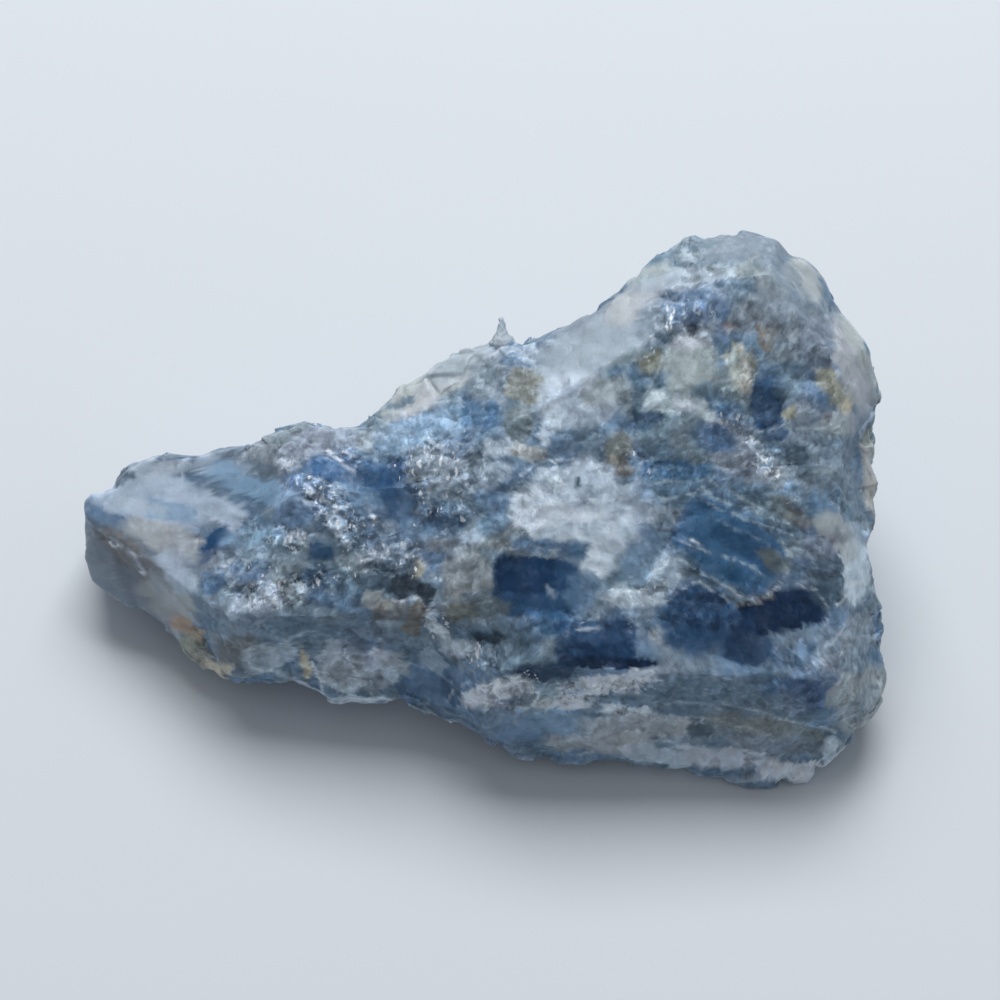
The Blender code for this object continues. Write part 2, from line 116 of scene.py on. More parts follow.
# Facets: a point on each (across, up the face, out), its outward direction, and how far round it reaches in mm.
FACETS = (
    ("broad face", (13.0, -4.0, 10.4), (0.05, 0.06, 1.0), 30.0),
    ("broad face, left", (-14.0, -4.0, 8.2), (-0.18, -0.02, 0.98), 16.0),
    ("front band", (7.0, -24.0, 7.6), (0.0, -0.66, 0.75), 20.0),
    ("front band, right", (33.0, -26.0, 6.4), (0.22, -0.68, 0.70), 13.0),
    ("right side", (42.5, -4.0, 4.4), (0.84, 0.02, 0.54), 26.0),
    ("upper right", (38.5, 20.0, 5.6), (0.60, 0.44, 0.67), 12.0),
    ("top", (25.0, 28.0, 5.6), (-0.05, 0.70, 0.71), 13.0),
    ("upper left slope", (8.0, 16.0, 7.2), (-0.30, 0.58, 0.76), 17.0),
    ("arm, upper slope", (-24.0, 4.5, 3.8), (-0.20, 0.56, 0.80), 15.0),
    ("arm, front", (-22.0, -17.5, 3.6), (-0.10, -0.60, 0.79), 14.0),
    ("end block, top", (-43.0, -1.5, -4.0), (-0.34, 0.24, 0.91), 13.0),
    ("end block, end", (-44.6, -7.6, -5.4), (-0.66, -0.52, 0.54), 13.0),
)
# Facets of the hidden side, likewise, but with x, y, z from the floor.
UNDERSIDE_FACETS = (
    ("back", (16.0, 30.5, 22.0), (-0.12, 0.97, 0.20), 30.0),
    ("back, upper left", (-10.0, 21.0, 14.0), (-0.46, 0.88, 0.10), 20.0),
    ("back, low", (14.0, 28.0, 6.0), (-0.10, 0.80, -0.58), 30.0),
    ("right end, low", (43.0, 4.0, 6.0), (0.86, 0.12, -0.50), 30.0),
    ("front, low", (20.0, -28.0, 1.5), (0.05, -0.72, -0.69), 24.0),
    ("front, under the arm", (-14.0, -17.0, 3.5), (-0.16, -0.52, -0.84), 20.0),
    ("arm, underside", (-26.0, 4.0, 0.4), (-0.16, -0.06, -0.98), 34.0),
    ("arm, back", (-30.0, 15.0, 8.0), (-0.14, 0.95, -0.28), 20.0),
)
RIM_GUARD = 3.0  # mm either side of the rim over which the facets fade out

# Hollows and swellings: (across, up the face, out) in mm, radius, height out of the surface.
HOLLOWS = (
    ((-9.0, -1.0, 9.0), 7.0, -1.2), ((-17.0, 4.0, 7.0), 4.5, -1.4), ((34.0, -13.0, 10.0), 6.0, -1.3),
    ((-2.0, -16.0, 9.5), 4.0, -1.3), ((9.0, 1.5, 10.5), 8.0, 1.1), ((41.5, 4.5, 4.0), 4.0, -1.6),
    ((22.0, 13.0, 10.0), 6.5, 0.9), ((-4.0, -23.5, 6.0), 5.0, 1.2),
)

# Grains of the broad face that are single flat breaks: place, reach, outward direction, height of steps, in mm.
FLAT_GRAINS = (
    ((-32.0, 2.4), 5.0, (-0.14, 0.36, 0.92), 4.0), ((-43.5, -2.0), 5.5, (-0.30, 0.26, 0.92), 4.0),
    ((-38.5, -4.0), 4.5, (-0.22, 0.12, 0.97), 4.0), ((-44.0, -9.0), 7.0, (-0.68, -0.50, 0.53), 4.0),
    ((-34.2, -5.0), 3.6, (-0.12, -0.04, 0.99), 3.0), ((-14.0, 2.0), 5.5, (-0.05, 0.40, 0.91), 3.0),
    ((-21.5, 5.0), 4.0, (-0.34, 0.26, 0.90), 2.0), ((5.5, -10.5), 6.5, (0.10, 0.24, 0.97), 3.0),
    ((28.0, -4.5), 6.5, (-0.22, 0.16, 0.96), 3.0), ((34.5, -13.5), 5.5, (0.14, 0.30, 0.94), 3.0),
    ((27.5, -14.5), 5.0, (-0.16, 0.05, 0.98), 3.0), ((13.0, -19.4), 4.5, (0.02, -0.06, 0.99), 3.0),
    ((11.0, 4.0), 7.0, (0.04, -0.12, 0.99), 2.4), ((22.5, 15.5), 4.6, (-0.24, 0.20, 0.95), 3.0),
    ((22.0, 22.5), 5.0, (0.18, 0.24, 0.95), 3.0), ((31.0, 15.0), 3.4, (0.30, 0.10, 0.95), 2.4),
    ((8.0, 18.0), 6.0, (-0.32, 0.52, 0.79), 4.0), ((-9.0, -22.0), 4.5, (-0.10, -0.50, 0.86), 3.0),
    ((-2.0, -23.8), 4.0, (-0.26, -0.50, 0.83), 1.6), ((12.5, -26.5), 6.0, (0.02, -0.80, 0.60), 3.0),
    ((28.0, -28.0), 6.0, (0.12, -0.76, 0.64), 3.0), ((42.5, -8.0), 4.5, (0.80, 0.10, 0.60), 3.0),
    ((42.8, -22.0), 5.0, (0.76, -0.36, 0.54), 3.0), ((35.0, 27.0), 4.0, (0.44, 0.50, 0.75), 3.0),
)

# Cleavage of all the other grains.
SEED = 41
GRAIN_COUNT = 330
GRAIN_TRIES = 6000  # points looked at to place them
GRAIN_SPACING = 4.4  # mm, the least distance between two grains
GRAIN_ROOM = 0.6  # the share of a grain's reach kept clear of others
GRAIN_REACH = (0.0, 2.6)  # mm, small and large grains
GRAIN_TILT = math.radians(24.0)  # most that a grain's flats turn from the form under them
GRAIN_WANDER = (0.7, 6.0)  # mm, how far the borders between grains wander, and over what length
STEP_HEIGHT = (0.9, 2.2)  # mm, between two flats of one grain
STEP_LIMIT = 1.5  # mm, most that a flat stands out of the form or goes into it
BLOCK_SIZE = (2.2, 3.6)  # the sides of a grain's blocks, in step heights
BLOCK_SLANT = 0.27  # calcite breaks into slanted blocks
STEP_SHARES = (0.35, 0.03)  # how much of the steps shows on the rim, which they notch, and away from it
RIM_BAND = 3.5  # mm from the rim over which one turns to the other

# The grids and the mesh.
COARSE_GRID = 170  # points along each side of the grids that carry the large form
FACE_GRID = 501  # points along each side of the grid that carries the cleavage of the broad face
FACE_TRIANGLES = 132000  # about how many the broad face keeps
BACK_TRIANGLES = 64000  # about how many the hidden side keeps
STONE_CREASE = math.radians(32.0)  # edges sharper than this are shaded as edges
STRETCH = (1.006, 1.0, 1.006)  # makes up for what the relief takes off the form's box
LEAST_DEPTH = 0.5  # mm, no plane cuts the form closer to its spine
FACET_HOLD, FACET_FADE = 2.2, 1.2  # a facet's weight is the first less the second for each reach from its middle
NORMAL_ROUNDS = 14  # how often the outward directions are averaged with their neighbours
SPINE_PULL = 0.12  # how much of the direction away from the spine is then mixed in
RIM_ROWS = 16  # rows of the grid from the rim over which both halves come to agree
RIM_POWER = 1.5
RIM_FLATTENING = np.array((1.0, 1.0, 0.15))  # the rim's outward directions lie nearly in its plane
WAVES = 18  # waves that make up an uneven field
WAVE_SPREAD = 1.7  # their middling length, in lengths of the field
WAVE_HEIGHT = 5.0  # the sum of the waves that counts as one
TINY = 1e-9  # the least that anything is divided by
BATCH = 8192  # points set against every grain at once

# The relief. A pair (least, more) is what there is where the break is smooth, and how much more where it is rough.
BASE_ROUGHNESS = 0.42  # how rough the break is where nothing else is said, from 0 to 1
LEAST_FACING = 0.5  # steps on a plane that leans more than this stand out no further
THIN_STEP = (0.30, 0.30)  # mm, the thin steps: least, and how much thicker they may be
THIN_STEP_LEAN = 0.30  # how far their plane is turned
THIN_STEP_WAVES = ((0.5, 5.0, 60), (0.25, 1.8, 61))  # their unevenness: amount in steps, length in mm, seed
THIN_STEP_LIMIT = 0.3  # mm
THIN_STEP_SHARE = 0.10
CORNER_SIZES = (4.5, 2.2, 0.95)  # mm, the spacing of the cleaved corners of each size
CORNER_SALTS = (4, 5, 6)  # one for each size, added to the seed
CORNER_SLOPES = ((0.13, 0.22), (0.06, 0.46), (0.0, 0.46))  # how steep their sides are
CORNER_MIDDLE = 0.42  # how far the middle level is below a corner, of its size
CORNER_BLOCK = 31  # cells along each side of the block that places the corners
CLEAVAGE_SETS = 40  # ways that a corner's cleavage directions may be turned
CLEAVAGE_LEAN = 1.02  # how far the three lean from the axis between them: the height for one across
FINE_WAVES = ((0.012, 0.7, 62), (0.03, 2.0, 63))  # the last unevenness: height in mm, length in mm, seed
RIPPLE_SIZE = (1.9, 0.62)  # mm, length and width of the crinkles in rough places
RIPPLE_TURN = 20.0  # degrees between the crinkles and the place they are in
RIPPLE_DEPTH = 0.2  # how fast they change into the stone
RIPPLE_HEIGHT = 0.025  # mm
RIPPLE_SEED = 100
CRISPNESS = 1.4  # relief is fully crisp where the roughness times this is one
SOFTENING = 2  # how often the relief is averaged with its surroundings where the break is smooth
ROUGH_DRIFT = (0.8, 4.0, (90, 91))  # how the edges of rough places wander: mm, over what length, seeds
ROUGH_EDGE = (0.6, 2.4)  # softness and power of the outlines of rough places
SMOOTH_EDGE = (0.4, 2.4)
BEHIND_ROUGHNESS = (0.58, 0.42, 16.0, 92)  # behind the rim: its middle, how far it strays, over what length, seed
BEHIND_SMOOTHEST = 0.32
BEHIND_FADE = 2.0  # mm behind the rim over which the broad face's marks fade out

# The spire on the rim.
SPIKE_ACROSS = 0.25  # mm, where it stands
SPIKE_COLUMN = 0.6  # mm to each side in which its foot is looked for
SPIKE_PROFILE = (
    (-1.9, 0.0), (-1.2, 0.9), (-0.4, 1.25), (0.1, 1.1), (0.7, 0.7), (1.2, 0.45), (2.0, 0.34), (2.6, 0.28), (2.9, 0.0),
)  # mm, heights above the rim and radii
SPIKE_RINGS = 33
SPIKE_SIDES = 24
SPIKE_LOBES = ((0.16, 3.0, 0.8), (0.10, 5.0, 2.0))  # unevenness round it: share of the radius, lobes, turn
SPIKE_WIDTH, SPIKE_THICKNESS = 1.15, 0.6  # its radius across and into the stone, of the profile's
SPIKE_WAVE = 0.10  # how far each ring rises and falls, of its radius
SPIKE_LEAN = -0.1  # mm across for each mm up, over the first SPIKE_LEAN_TOP of its height
SPIKE_LEAN_TOP = 0.8  # mm
SPIKE_DEPTH = 0.4  # mm, how far it is set back from the rim
SPIKE_NOISES = ((0, 0.10, 0.9, 97), (1, 0.08, 0.5, 98))  # along which axis, height in mm, length in mm, seed
SPIKE_CREASE = math.radians(40.0)

# How calcite takes the light, by the inputs of its shader. It is cloudy, so light goes a little way in.
CALCITE_OPTICS = (
    ("IOR", 1.6), ("Subsurface Weight", 0.35), ("Subsurface Radius", (0.8, 1.0, 1.25)),
    ("Subsurface Scale", 0.6 * MM), ("Specular IOR Level", 0.25), ("Specular Tint", (0.75, 0.88, 1.0, 1.0)),
    ("Coat Roughness", 0.16),
)

# The shader's grain, in the object's own metres.
WANDER = (600.0, 0.0009)  # how straight borders wander: waves to the metre, and how far
LATHS = ((800.0, (0.5, 0.9, 0.4), 2.0), (1900.0, (0.2, -0.6, 1.1), 1.8))  # to the metre, turn, length by width
# The white flecks are painted glints: small laths where the colour turns white.
GLINT_FLECKS = ((1500.0, (0.3, 0.8, 0.9), 3.5), (2400.0, (0.9, -0.4, 0.2), 3.0))  # likewise
LATH_CONTRAST = (0.0, 0.36)  # how far laths differ in shade, where the break is smooth and where it is rough
LATH_LEAN = (0.06, 0.50)  # how far they lean, likewise
LATH_ROUGHNESS = (0.26, 0.6)  # the least and most roughness of a lath's surface
UNEVEN_SCALE, UNEVEN_SHARE = 900.0, 0.8  # the noise mixed into the laths' shades: waves to the metre, amount
MEAN_SHADE = 1.4  # the middle of two laths' shades and that noise together
# Painted glints: where the white flecks gather, and how strongly the colour turns white in them.
FLECK_CLUSTERS = 330.0  # waves to the metre of the field that gathers the flecks
GLINT_FLECK_STRENGTH = 0.8
# Each of the next four grades one value by another: from, to, and what it is at either.
FLECK_CROWD = (0.45, 1.0, 0.0, 0.75)  # the share of laths that are flecks, by roughness
FLECK_GATHERING = (0.40, 0.60, 0.15, 1.0)  # how much of that share there is, by the clusters' field
FLECK_HEART = (0.36, 0.24, 0.0, 1.0)  # how white a fleck is, by the distance from its middle
FLECK_RANGE = (0.0, 1.0, 0.35, 1.0)  # and by a random number of its own
GRAIN_BUMP = (2600.0, 0.0001)  # the finest grain: waves to the metre, and height

VIEW_REACH = 400.0  # mm, how far off the broad face is looked at; its marks are laid out as seen from there

CELL_HOLD = 0.35  # how far a mark keeps to whole corners, which gives it broken edges
MARK_ROOM = 1.2  # how much further than a mark reaches points are looked at
# A mark's edge: its softness as a share of the mark's half sizes, how far it wanders and how far it keeps to
# corners, and the power of its outline: 2 is an oval, more is blockier.
SOFT_MARK = (0.35, 0.20, 0.7, 2.6)
CRISP_MARK = (0.10, 0.12, 0.25, 5.0)

# Marks of the broad face: colour, place across and up the face, half length and half width in mm, turn in
# degrees, strength in percent, and whether it is crisp.
ZONES = (
    # End block
    ("smoke", -44.6, -8.6, 10.1, 3.8, -42, 95), ("dove", -39.8, -12.5, 4.1, 2.2, -42, 70),
    ("umber", -44.8, -6.2, 5.5, 1.3, -42, 50), ("haze", -39.8, -10.5, 2.6, 1.4, -52, 60),
    ("dove", -38.6, -12.5, 1.9, 1.1, -50, 60), ("blue", -48.9, -1.8, 1.7, 2.6, -20, 35),
    ("smoke", -48.9, -7.2, 1.0, 3.6, 4, 60), ("mid", -47.2, -1.4, 2.2, 1.6, -40, 75),
    ("pale", -41.9, 0.2, 7.4, 3.1, -14, 95), ("sky", -39.3, -1.4, 3.1, 1.1, -8, 75, "crisp"),
    ("dove", -39.8, -4.6, 5.5, 1.6, -20, 85), ("pale", -38.6, -8.6, 3.1, 1.7, -60, 80),
    ("pale", -33.3, -1.3, 2.9, 1.4, -28, 90, "crisp"), ("lilac", -41.9, 3.6, 5.0, 1.3, 6, 85),
    ("gloom", -45.4, 2.8, 1.3, 1.1, 40, 80), ("pale", -33.5, 3.6, 3.1, 1.4, -20, 80, "crisp"),
    ("sky", -29.7, 1.9, 5.3, 1.6, -24, 90, "crisp"), ("deep", -34.3, -5.4, 2.5, 1.0, 42, 100, "crisp"),
    ("rust", -37.4, -15.4, 2.0, 0.6, -32, 70), ("straw", -36.4, -18.0, 2.2, 1.7, -45, 60),
    ("honey", -33.8, -20.1, 1.7, 1.0, -20, 70), ("umber", -31.4, -17.7, 2.4, 1.4, 30, 50),
    ("smoke", -41.0, -15.6, 1.6, 0.8, -40, 90),
    # Arm
    ("ash", -25.4, 6.0, 6.0, 2.6, 14, 85), ("gloom", -21.0, 3.6, 3.1, 1.9, 0, 95),
    ("slate", -28.5, 3.6, 2.6, 1.0, -28, 60), ("haze", -17.7, 7.4, 3.1, 1.1, -12, 80),
    ("haze", -15.3, 7.2, 1.0, 2.4, -70, 70), ("blue", -17.4, 3.1, 6.2, 1.7, -8, 95),
    ("navy", -15.0, 2.4, 3.6, 1.2, -8, 60), ("deep", -12.2, 1.2, 2.4, 4.1, 8, 95),
    ("mid", -24.4, -1.4, 2.9, 1.8, 20, 85), ("sky", -29.7, -5.4, 3.8, 2.4, 10, 70),
    ("mid", -16.8, -1.8, 3.6, 2.6, 0, 60), ("mid", -19.2, 0.0, 3.6, 1.7, -20, 50),
    ("deep", -21.3, -6.3, 1.8, 1.1, -5, 85), ("smoke", -29.9, -10.2, 7.2, 4.6, 0, 50),
    ("blue", -34.3, -9.8, 1.6, 1.4, 20, 70), ("blue", -29.9, -8.4, 2.4, 1.0, 15, 60),
    ("deep", -22.5, -9.8, 1.8, 1.9, -45, 70), ("blue", -21.6, -12.3, 1.9, 1.1, -20, 70),
    ("pale", -25.6, -11.0, 2.4, 1.1, 10, 70), ("pale", -29.5, -12.6, 3.4, 1.0, 0, 65),
    ("slate", -26.3, -15.3, 4.1, 1.0, 5, 60), ("slate", -20.4, -15.0, 3.6, 1.1, 8, 80, "crisp"),
    ("haze", -28.5, -18.9, 2.2, 1.7, 20, 80, "crisp"), ("frost", -18.9, -21.1, 2.5, 1.8, -28, 70, "crisp"),
    ("frost", -14.6, -20.1, 1.4, 2.6, 35, 60, "crisp"), ("blue", -8.9, -21.8, 3.6, 1.9, 30, 75, "crisp"),
    ("slate", -23.2, -16.8, 2.6, 1.1, -20, 60, "crisp"), ("moss", -21.8, -13.4, 3.6, 1.0, -12, 40),
    ("lilac", -26.1, -18.2, 1.8, 1.4, 40, 65), ("honey", -23.5, -19.4, 2.2, 0.5, -84, 90),
    ("smoke", -18.6, -19.4, 2.9, 2.6, 0, 75), ("smoke", -15.3, -22.0, 1.3, 1.1, 0, 80),
    ("dove", -12.5, -19.4, 0.8, 3.4, 55, 70), ("frost", -18.0, -24.0, 4.3, 0.5, 0, 80),
    ("mid", -7.2, -22.0, 4.1, 2.9, -35, 90), ("gloom", -13.4, -9.3, 4.1, 1.9, 0, 75),
    # painted shade: the dark crevice marks here
    ("pit_shade", -11.3, -10.1, 2.2, 1.4, 20, 75), ("pit_shade", -9.1, -11.3, 1.2, 1.6, 0, 85),
    ("straw", -9.6, -8.1, 0.7, 1.0, 0, 55), ("sand", -14.6, -12.0, 1.9, 1.1, -30, 50),
    ("umber", -12.9, -13.4, 2.2, 1.2, 0, 60), ("umber", -10.1, -14.4, 1.0, 2.0, -28, 85, "crisp"),
    ("slate", -11.4, -17.4, 4.3, 1.4, -20, 70), ("frost", -7.7, -15.0, 0.7, 2.0, 30, 70),
    ("frost", -4.8, -17.7, 2.4, 1.0, 0, 45),
    # Middle left
    ("smoke", -6.0, 3.6, 5.3, 3.1, 0, 65), ("mid", -5.4, -1.0, 7.2, 3.6, 0, 60),
    ("navy", -7.2, -2.3, 3.0, 1.3, 0, 60), ("haze", -5.7, 1.2, 2.9, 1.2, 0, 50),
    ("pale", -3.6, -4.2, 1.0, 3.1, -28, 70), ("sky", 0.0, -2.2, 3.1, 1.2, 24, 60),
    ("umber", -5.0, -5.7, 3.6, 0.8, 0, 40), ("dove", -7.2, 14.9, 8.4, 2.4, 32, 95),
    ("haze", -4.6, 16.5, 4.8, 1.4, 22, 70), ("slate", -12.0, 11.5, 1.7, 0.7, 12, 90),
    ("sky", -9.3, 8.4, 6.0, 1.9, 15, 75), ("blue", -2.4, 10.5, 2.4, 2.4, 0, 75),
    ("mid", -4.6, 6.6, 2.6, 1.7, 0, 50), ("smoke", -1.2, 14.1, 2.6, 2.6, 0, 75),
    ("olive", 3.0, 13.7, 2.4, 2.0, -18, 60, "crisp"), ("moss", 2.4, 9.1, 1.7, 2.6, 0, 60),
    ("pale", 0.4, 18.1, 1.9, 0.6, -5, 65), ("pale", 3.5, 17.6, 1.1, 1.0, 0, 65),
    ("lilac", 0.6, 6.3, 2.4, 1.1, 0, 70), ("sand", 3.6, 5.7, 2.2, 1.0, 0, 60),
    ("pale", -0.7, 2.9, 2.4, 1.3, 20, 60), ("haze", 10.5, 18.3, 6.7, 3.2, 30, 95),
    ("dove", 16.8, 24.9, 5.0, 2.0, 45, 90), ("smoke", 8.6, 21.0, 5.7, 0.5, 26, 60),
    ("lilac", 9.3, 12.0, 4.8, 3.4, 0, 80), ("frost", 6.2, 9.1, 1.0, 2.4, -20, 55),
    ("dove", 12.7, 12.9, 3.1, 1.9, 0, 60), ("smoke", 10.8, 10.5, 2.6, 1.0, 10, 40),
    # Middle
    ("frost", 5.7, 0.2, 4.8, 2.9, 32, 85), ("lilac", 11.0, 1.9, 3.6, 3.1, -35, 90),
    ("frost", 8.4, -2.6, 5.7, 2.4, 0, 85), ("white", 8.6, -1.4, 4.1, 1.0, -8, 35),
    ("frost", 13.4, -2.9, 3.6, 2.6, -50, 80), ("frost", 12.0, -6.3, 2.0, 2.9, -20, 95),
    ("frost", 16.8, 0.0, 2.4, 2.4, 0, 60), ("slate", 11.0, 0.7, 1.2, 0.7, -40, 50),
    ("slate", 12.0, 5.7, 2.6, 0.7, -18, 65), ("olive", 14.1, 6.2, 1.6, 1.8, 0, 55),
    ("umber", 14.4, 4.1, 1.7, 0.8, -30, 80), ("smoke", 15.3, 11.3, 1.2, 1.4, 0, 75),
    ("deep", 17.7, 9.8, 2.2, 1.2, 18, 70), ("gloom", 9.2, 2.0, 0.4, 0.6, 20, 95),
    ("umber", 1.8, -5.7, 3.6, 0.7, 0, 40), ("blue", 5.7, -5.7, 4.1, 0.8, -6, 60),
    ("sand", -3.8, -9.3, 3.1, 2.9, 0, 50), ("slate", -2.2, -12.0, 2.4, 1.9, 0, 60),
    ("deep", 4.3, -10.5, 5.3, 3.6, -3, 95, "crisp"), ("navy", 2.9, -8.9, 3.6, 2.2, -3, 85, "crisp"),
    ("mid", 9.8, -10.8, 1.7, 2.4, 0, 65), ("olive", -4.6, -13.5, 1.9, 1.2, 0, 70),
    ("moss", -1.2, -12.8, 2.2, 1.0, 0, 60), ("gloom", 0.0, -16.8, 4.1, 1.7, 0, 60),
    # painted shade: the dark crevice mark at the start of the next line
    ("pit_shade", -1.2, -16.3, 2.0, 0.6, -8, 75), ("blue", 7.2, -14.6, 3.4, 1.4, 0, 75),
    ("deep", 11.4, -16.8, 5.0, 2.4, 0, 90, "crisp"), ("navy", 12.0, -18.2, 4.3, 1.2, 0, 70, "crisp"),
    ("night", 12.9, -19.5, 6.0, 0.7, -2, 100, "crisp"), ("navy", 5.5, -20.6, 4.1, 1.1, 0, 85),
    ("navy", 13.8, -14.6, 1.9, 1.1, 0, 60), ("dove", 18.7, -16.4, 0.8, 1.2, 0, 60),
    ("frost", 15.8, -11.7, 3.8, 1.1, -4, 60), ("sky", 18.0, -7.8, 3.4, 2.4, 10, 60),
    ("frost", 20.1, -8.9, 1.9, 2.4, -30, 40),
    # Middle right
    ("mid", 22.8, 1.2, 6.7, 2.2, 0, 80), ("blue", 21.1, 3.6, 4.1, 1.1, 0, 85, "crisp"),
    ("smoke", 25.7, 7.2, 5.7, 2.9, -10, 70), ("blue", 25.4, 7.4, 2.9, 1.6, -15, 75),
    ("smoke", 29.0, 3.8, 4.1, 1.2, -20, 70), ("blue", 27.5, -5.4, 6.7, 3.6, -32, 97, "crisp"),
    ("blue", 25.6, -2.9, 3.8, 1.7, -30, 80, "crisp"), ("deep", 29.2, -5.5, 4.1, 1.2, -32, 60, "crisp"),
    ("blue", 30.7, -2.6, 4.3, 0.7, -24, 60), ("olive", 33.1, -7.4, 2.2, 1.2, -30, 45),
    ("teal", 27.1, -9.1, 4.1, 1.2, -26, 80), ("deep", 23.7, -14.1, 4.6, 4.1, 0, 92),
    ("navy", 24.7, -13.2, 2.9, 2.4, 0, 40), ("navy", 29.7, -17.7, 3.1, 2.4, 0, 85),
    ("night", 33.8, -13.3, 5.4, 2.6, 12, 97), ("navy", 29.2, -14.6, 1.9, 1.7, 0, 80),
    ("gloom", 39.3, -9.3, 2.0, 3.4, -8, 85), ("smoke", 37.4, -5.7, 2.9, 1.4, 0, 60),
    # Right rim
    ("frost", 42.6, -8.6, 1.7, 3.8, 0, 85), ("dove", 40.5, -4.2, 3.4, 1.7, -50, 75),
    ("smoke", 42.9, -16.0, 2.0, 2.4, 0, 85), ("deep", 35.0, -18.4, 3.1, 1.9, 0, 50),
    ("deep", 35.7, -23.2, 4.1, 1.9, -5, 75), ("mid", 29.0, -21.6, 4.3, 1.7, 0, 60),
    ("smoke", 40.5, -18.6, 2.2, 2.4, 30, 60), ("dove", 43.6, -24.0, 2.4, 4.3, -30, 85),
    ("slate", 43.4, -24.2, 1.1, 2.9, -32, 50), ("dove", 40.7, -23.0, 1.1, 2.4, -35, 75),
    # Front
    ("white", -0.5, -23.0, 4.4, 1.3, 14, 60), ("pale", 6.7, -23.0, 3.6, 1.1, 10, 45),
    ("white", 14.1, -21.8, 4.6, 1.0, 8, 65), ("white", 7.2, -24.4, 4.1, 0.7, 6, 50),
    ("frost", 15.0, -25.3, 2.9, 0.6, -3, 70), ("slate", 13.4, -23.8, 3.6, 0.7, 0, 60),
    ("sky", 6.6, -26.6, 6.7, 1.4, 0, 70), ("mid", 2.6, -27.5, 3.4, 1.7, 8, 80),
    ("dove", 16.8, -27.1, 7.2, 1.4, 0, 70), ("slate", 24.0, -23.0, 6.7, 1.7, -5, 85),
    ("sand", 12.0, -29.2, 6.5, 1.0, -3, 45), ("lilac", 24.0, -30.7, 9.6, 1.3, -3, 85),
    ("gloom", 24.1, -27.5, 1.6, 0.8, 0, 85), ("slate", 31.1, -24.4, 6.0, 1.4, -10, 70),
    ("moss", 32.1, -27.3, 7.2, 1.1, -8, 75), ("smoke", 32.3, -29.2, 6.0, 1.1, -6, 70),
    ("white", 35.9, -32.6, 5.0, 1.2, 0, 50), ("frost", 40.0, -30.2, 1.6, 1.6, 40, 65),
    # Upper right
    ("smoke", 22.8, 22.5, 5.3, 3.1, 0, 85), ("blue", 23.5, 23.2, 4.3, 2.0, 0, 60),
    ("gloom", 19.6, 20.8, 1.6, 2.0, 0, 50), ("blue", 26.6, 21.6, 1.4, 1.7, -60, 50),
    ("haze", 22.8, 26.7, 7.4, 1.1, 10, 85), ("smoke", 29.3, 30.4, 5.7, 1.7, 0, 80),
    ("haze", 23.4, 29.9, 2.6, 0.8, 15, 70), ("slate", 24.0, 30.4, 1.7, 0.5, 10, 70),
    ("ash", 33.1, 26.3, 2.6, 2.4, 0, 80), ("moss", 29.9, 27.8, 1.1, 1.9, -60, 60),
    ("dove", 36.6, 26.3, 1.8, 3.0, 30, 85), ("slate", 35.9, 25.6, 0.6, 2.6, 34, 50),
    ("smoke", 34.7, 21.6, 6.2, 2.6, -18, 85), ("smoke", 29.7, 21.8, 2.2, 1.9, 0, 70),
    ("umber", 31.9, 19.4, 1.3, 1.7, 0, 100), ("smoke", 35.9, 18.2, 4.8, 1.7, -20, 60),
    ("frost", 19.6, 12.5, 1.7, 0.7, 20, 50), ("frost", 24.4, 10.3, 1.9, 0.8, -30, 70),
    ("frost", 20.4, 12.0, 2.9, 1.7, 0, 50), ("dove", 22.8, 16.3, 3.1, 3.4, 0, 75),
    ("slate", 24.3, 13.4, 1.3, 1.1, 0, 85), ("sand", 28.5, 16.0, 1.3, 2.6, 8, 70),
    ("olive", 28.0, 17.7, 0.6, 1.2, 10, 50), ("rust", 27.4, 20.8, 0.8, 0.7, 0, 35),
    ("frost", 28.0, 16.5, 0.4, 1.4, 0, 60), ("olive", 30.4, 15.8, 0.7, 2.2, 10, 60),
    ("umber", 29.1, 13.4, 0.6, 0.6, 0, 70), ("olive", 18.0, 16.5, 1.7, 1.4, 25, 75),
    ("haze", 15.3, 17.7, 2.6, 1.4, 30, 75), ("straw", 40.0, 13.4, 3.1, 1.3, -48, 70),
    ("honey", 41.8, 11.0, 0.6, 1.0, -20, 100), ("straw", 35.0, 10.5, 0.6, 0.7, 0, 70),
    ("deep", 32.1, 11.7, 2.2, 3.6, 5, 92), ("slate", 34.3, 13.9, 1.7, 1.9, 0, 60),
    ("teal", 27.5, 10.5, 1.7, 1.2, -30, 50), ("deep", 34.7, 7.7, 3.4, 0.8, 0, 75),
    ("dove", 42.5, 16.5, 2.0, 6.2, 14, 85), ("smoke", 38.1, 5.7, 3.8, 4.8, 0, 70),
    ("mid", 40.1, 6.5, 1.7, 2.2, 0, 40), ("gloom", 35.7, 4.6, 1.4, 2.2, 0, 80),
    ("dove", 40.5, 9.1, 2.2, 1.7, 0, 55), ("slate", 42.6, 0.5, 1.4, 4.1, 22, 80),
    ("moss", 45.0, 0.0, 0.5, 4.1, 0, 80), ("umber", 34.7, -1.4, 3.1, 1.0, -32, 60),
    ("slate", 32.3, -0.2, 2.4, 0.6, -25, 50), ("pale", 32.1, 4.3, 3.6, 1.7, -35, 50),
    ("dove", 33.3, 2.6, 1.4, 1.0, -35, 35), ("sand", 44.1, 3.6, 0.8, 4.8, 4, 60),
    ("pale", 43.4, -4.3, 1.4, 1.9, 20, 50), ("white", 22.8, 11.6, 2.4, 1.0, -10, 60),
    # Crisp facets
    ("lilac", -43.1, -0.7, 3.1, 0.8, -12, 60, "crisp"), ("haze", -37.6, -5.7, 1.4, 2.4, 20, 50, "crisp"),
    ("slate", -24.4, -16.3, 1.6, 0.8, -30, 70, "crisp"), ("lilac", -20.4, -18.2, 1.1, 1.6, -25, 60, "crisp"),
    ("gloom", -17.2, -16.8, 1.9, 0.7, -30, 60, "crisp"), ("lilac", -8.1, -19.2, 1.7, 1.0, -35, 50, "crisp"),
    ("navy", -5.7, -22.8, 1.0, 1.9, 30, 50, "crisp"),
)

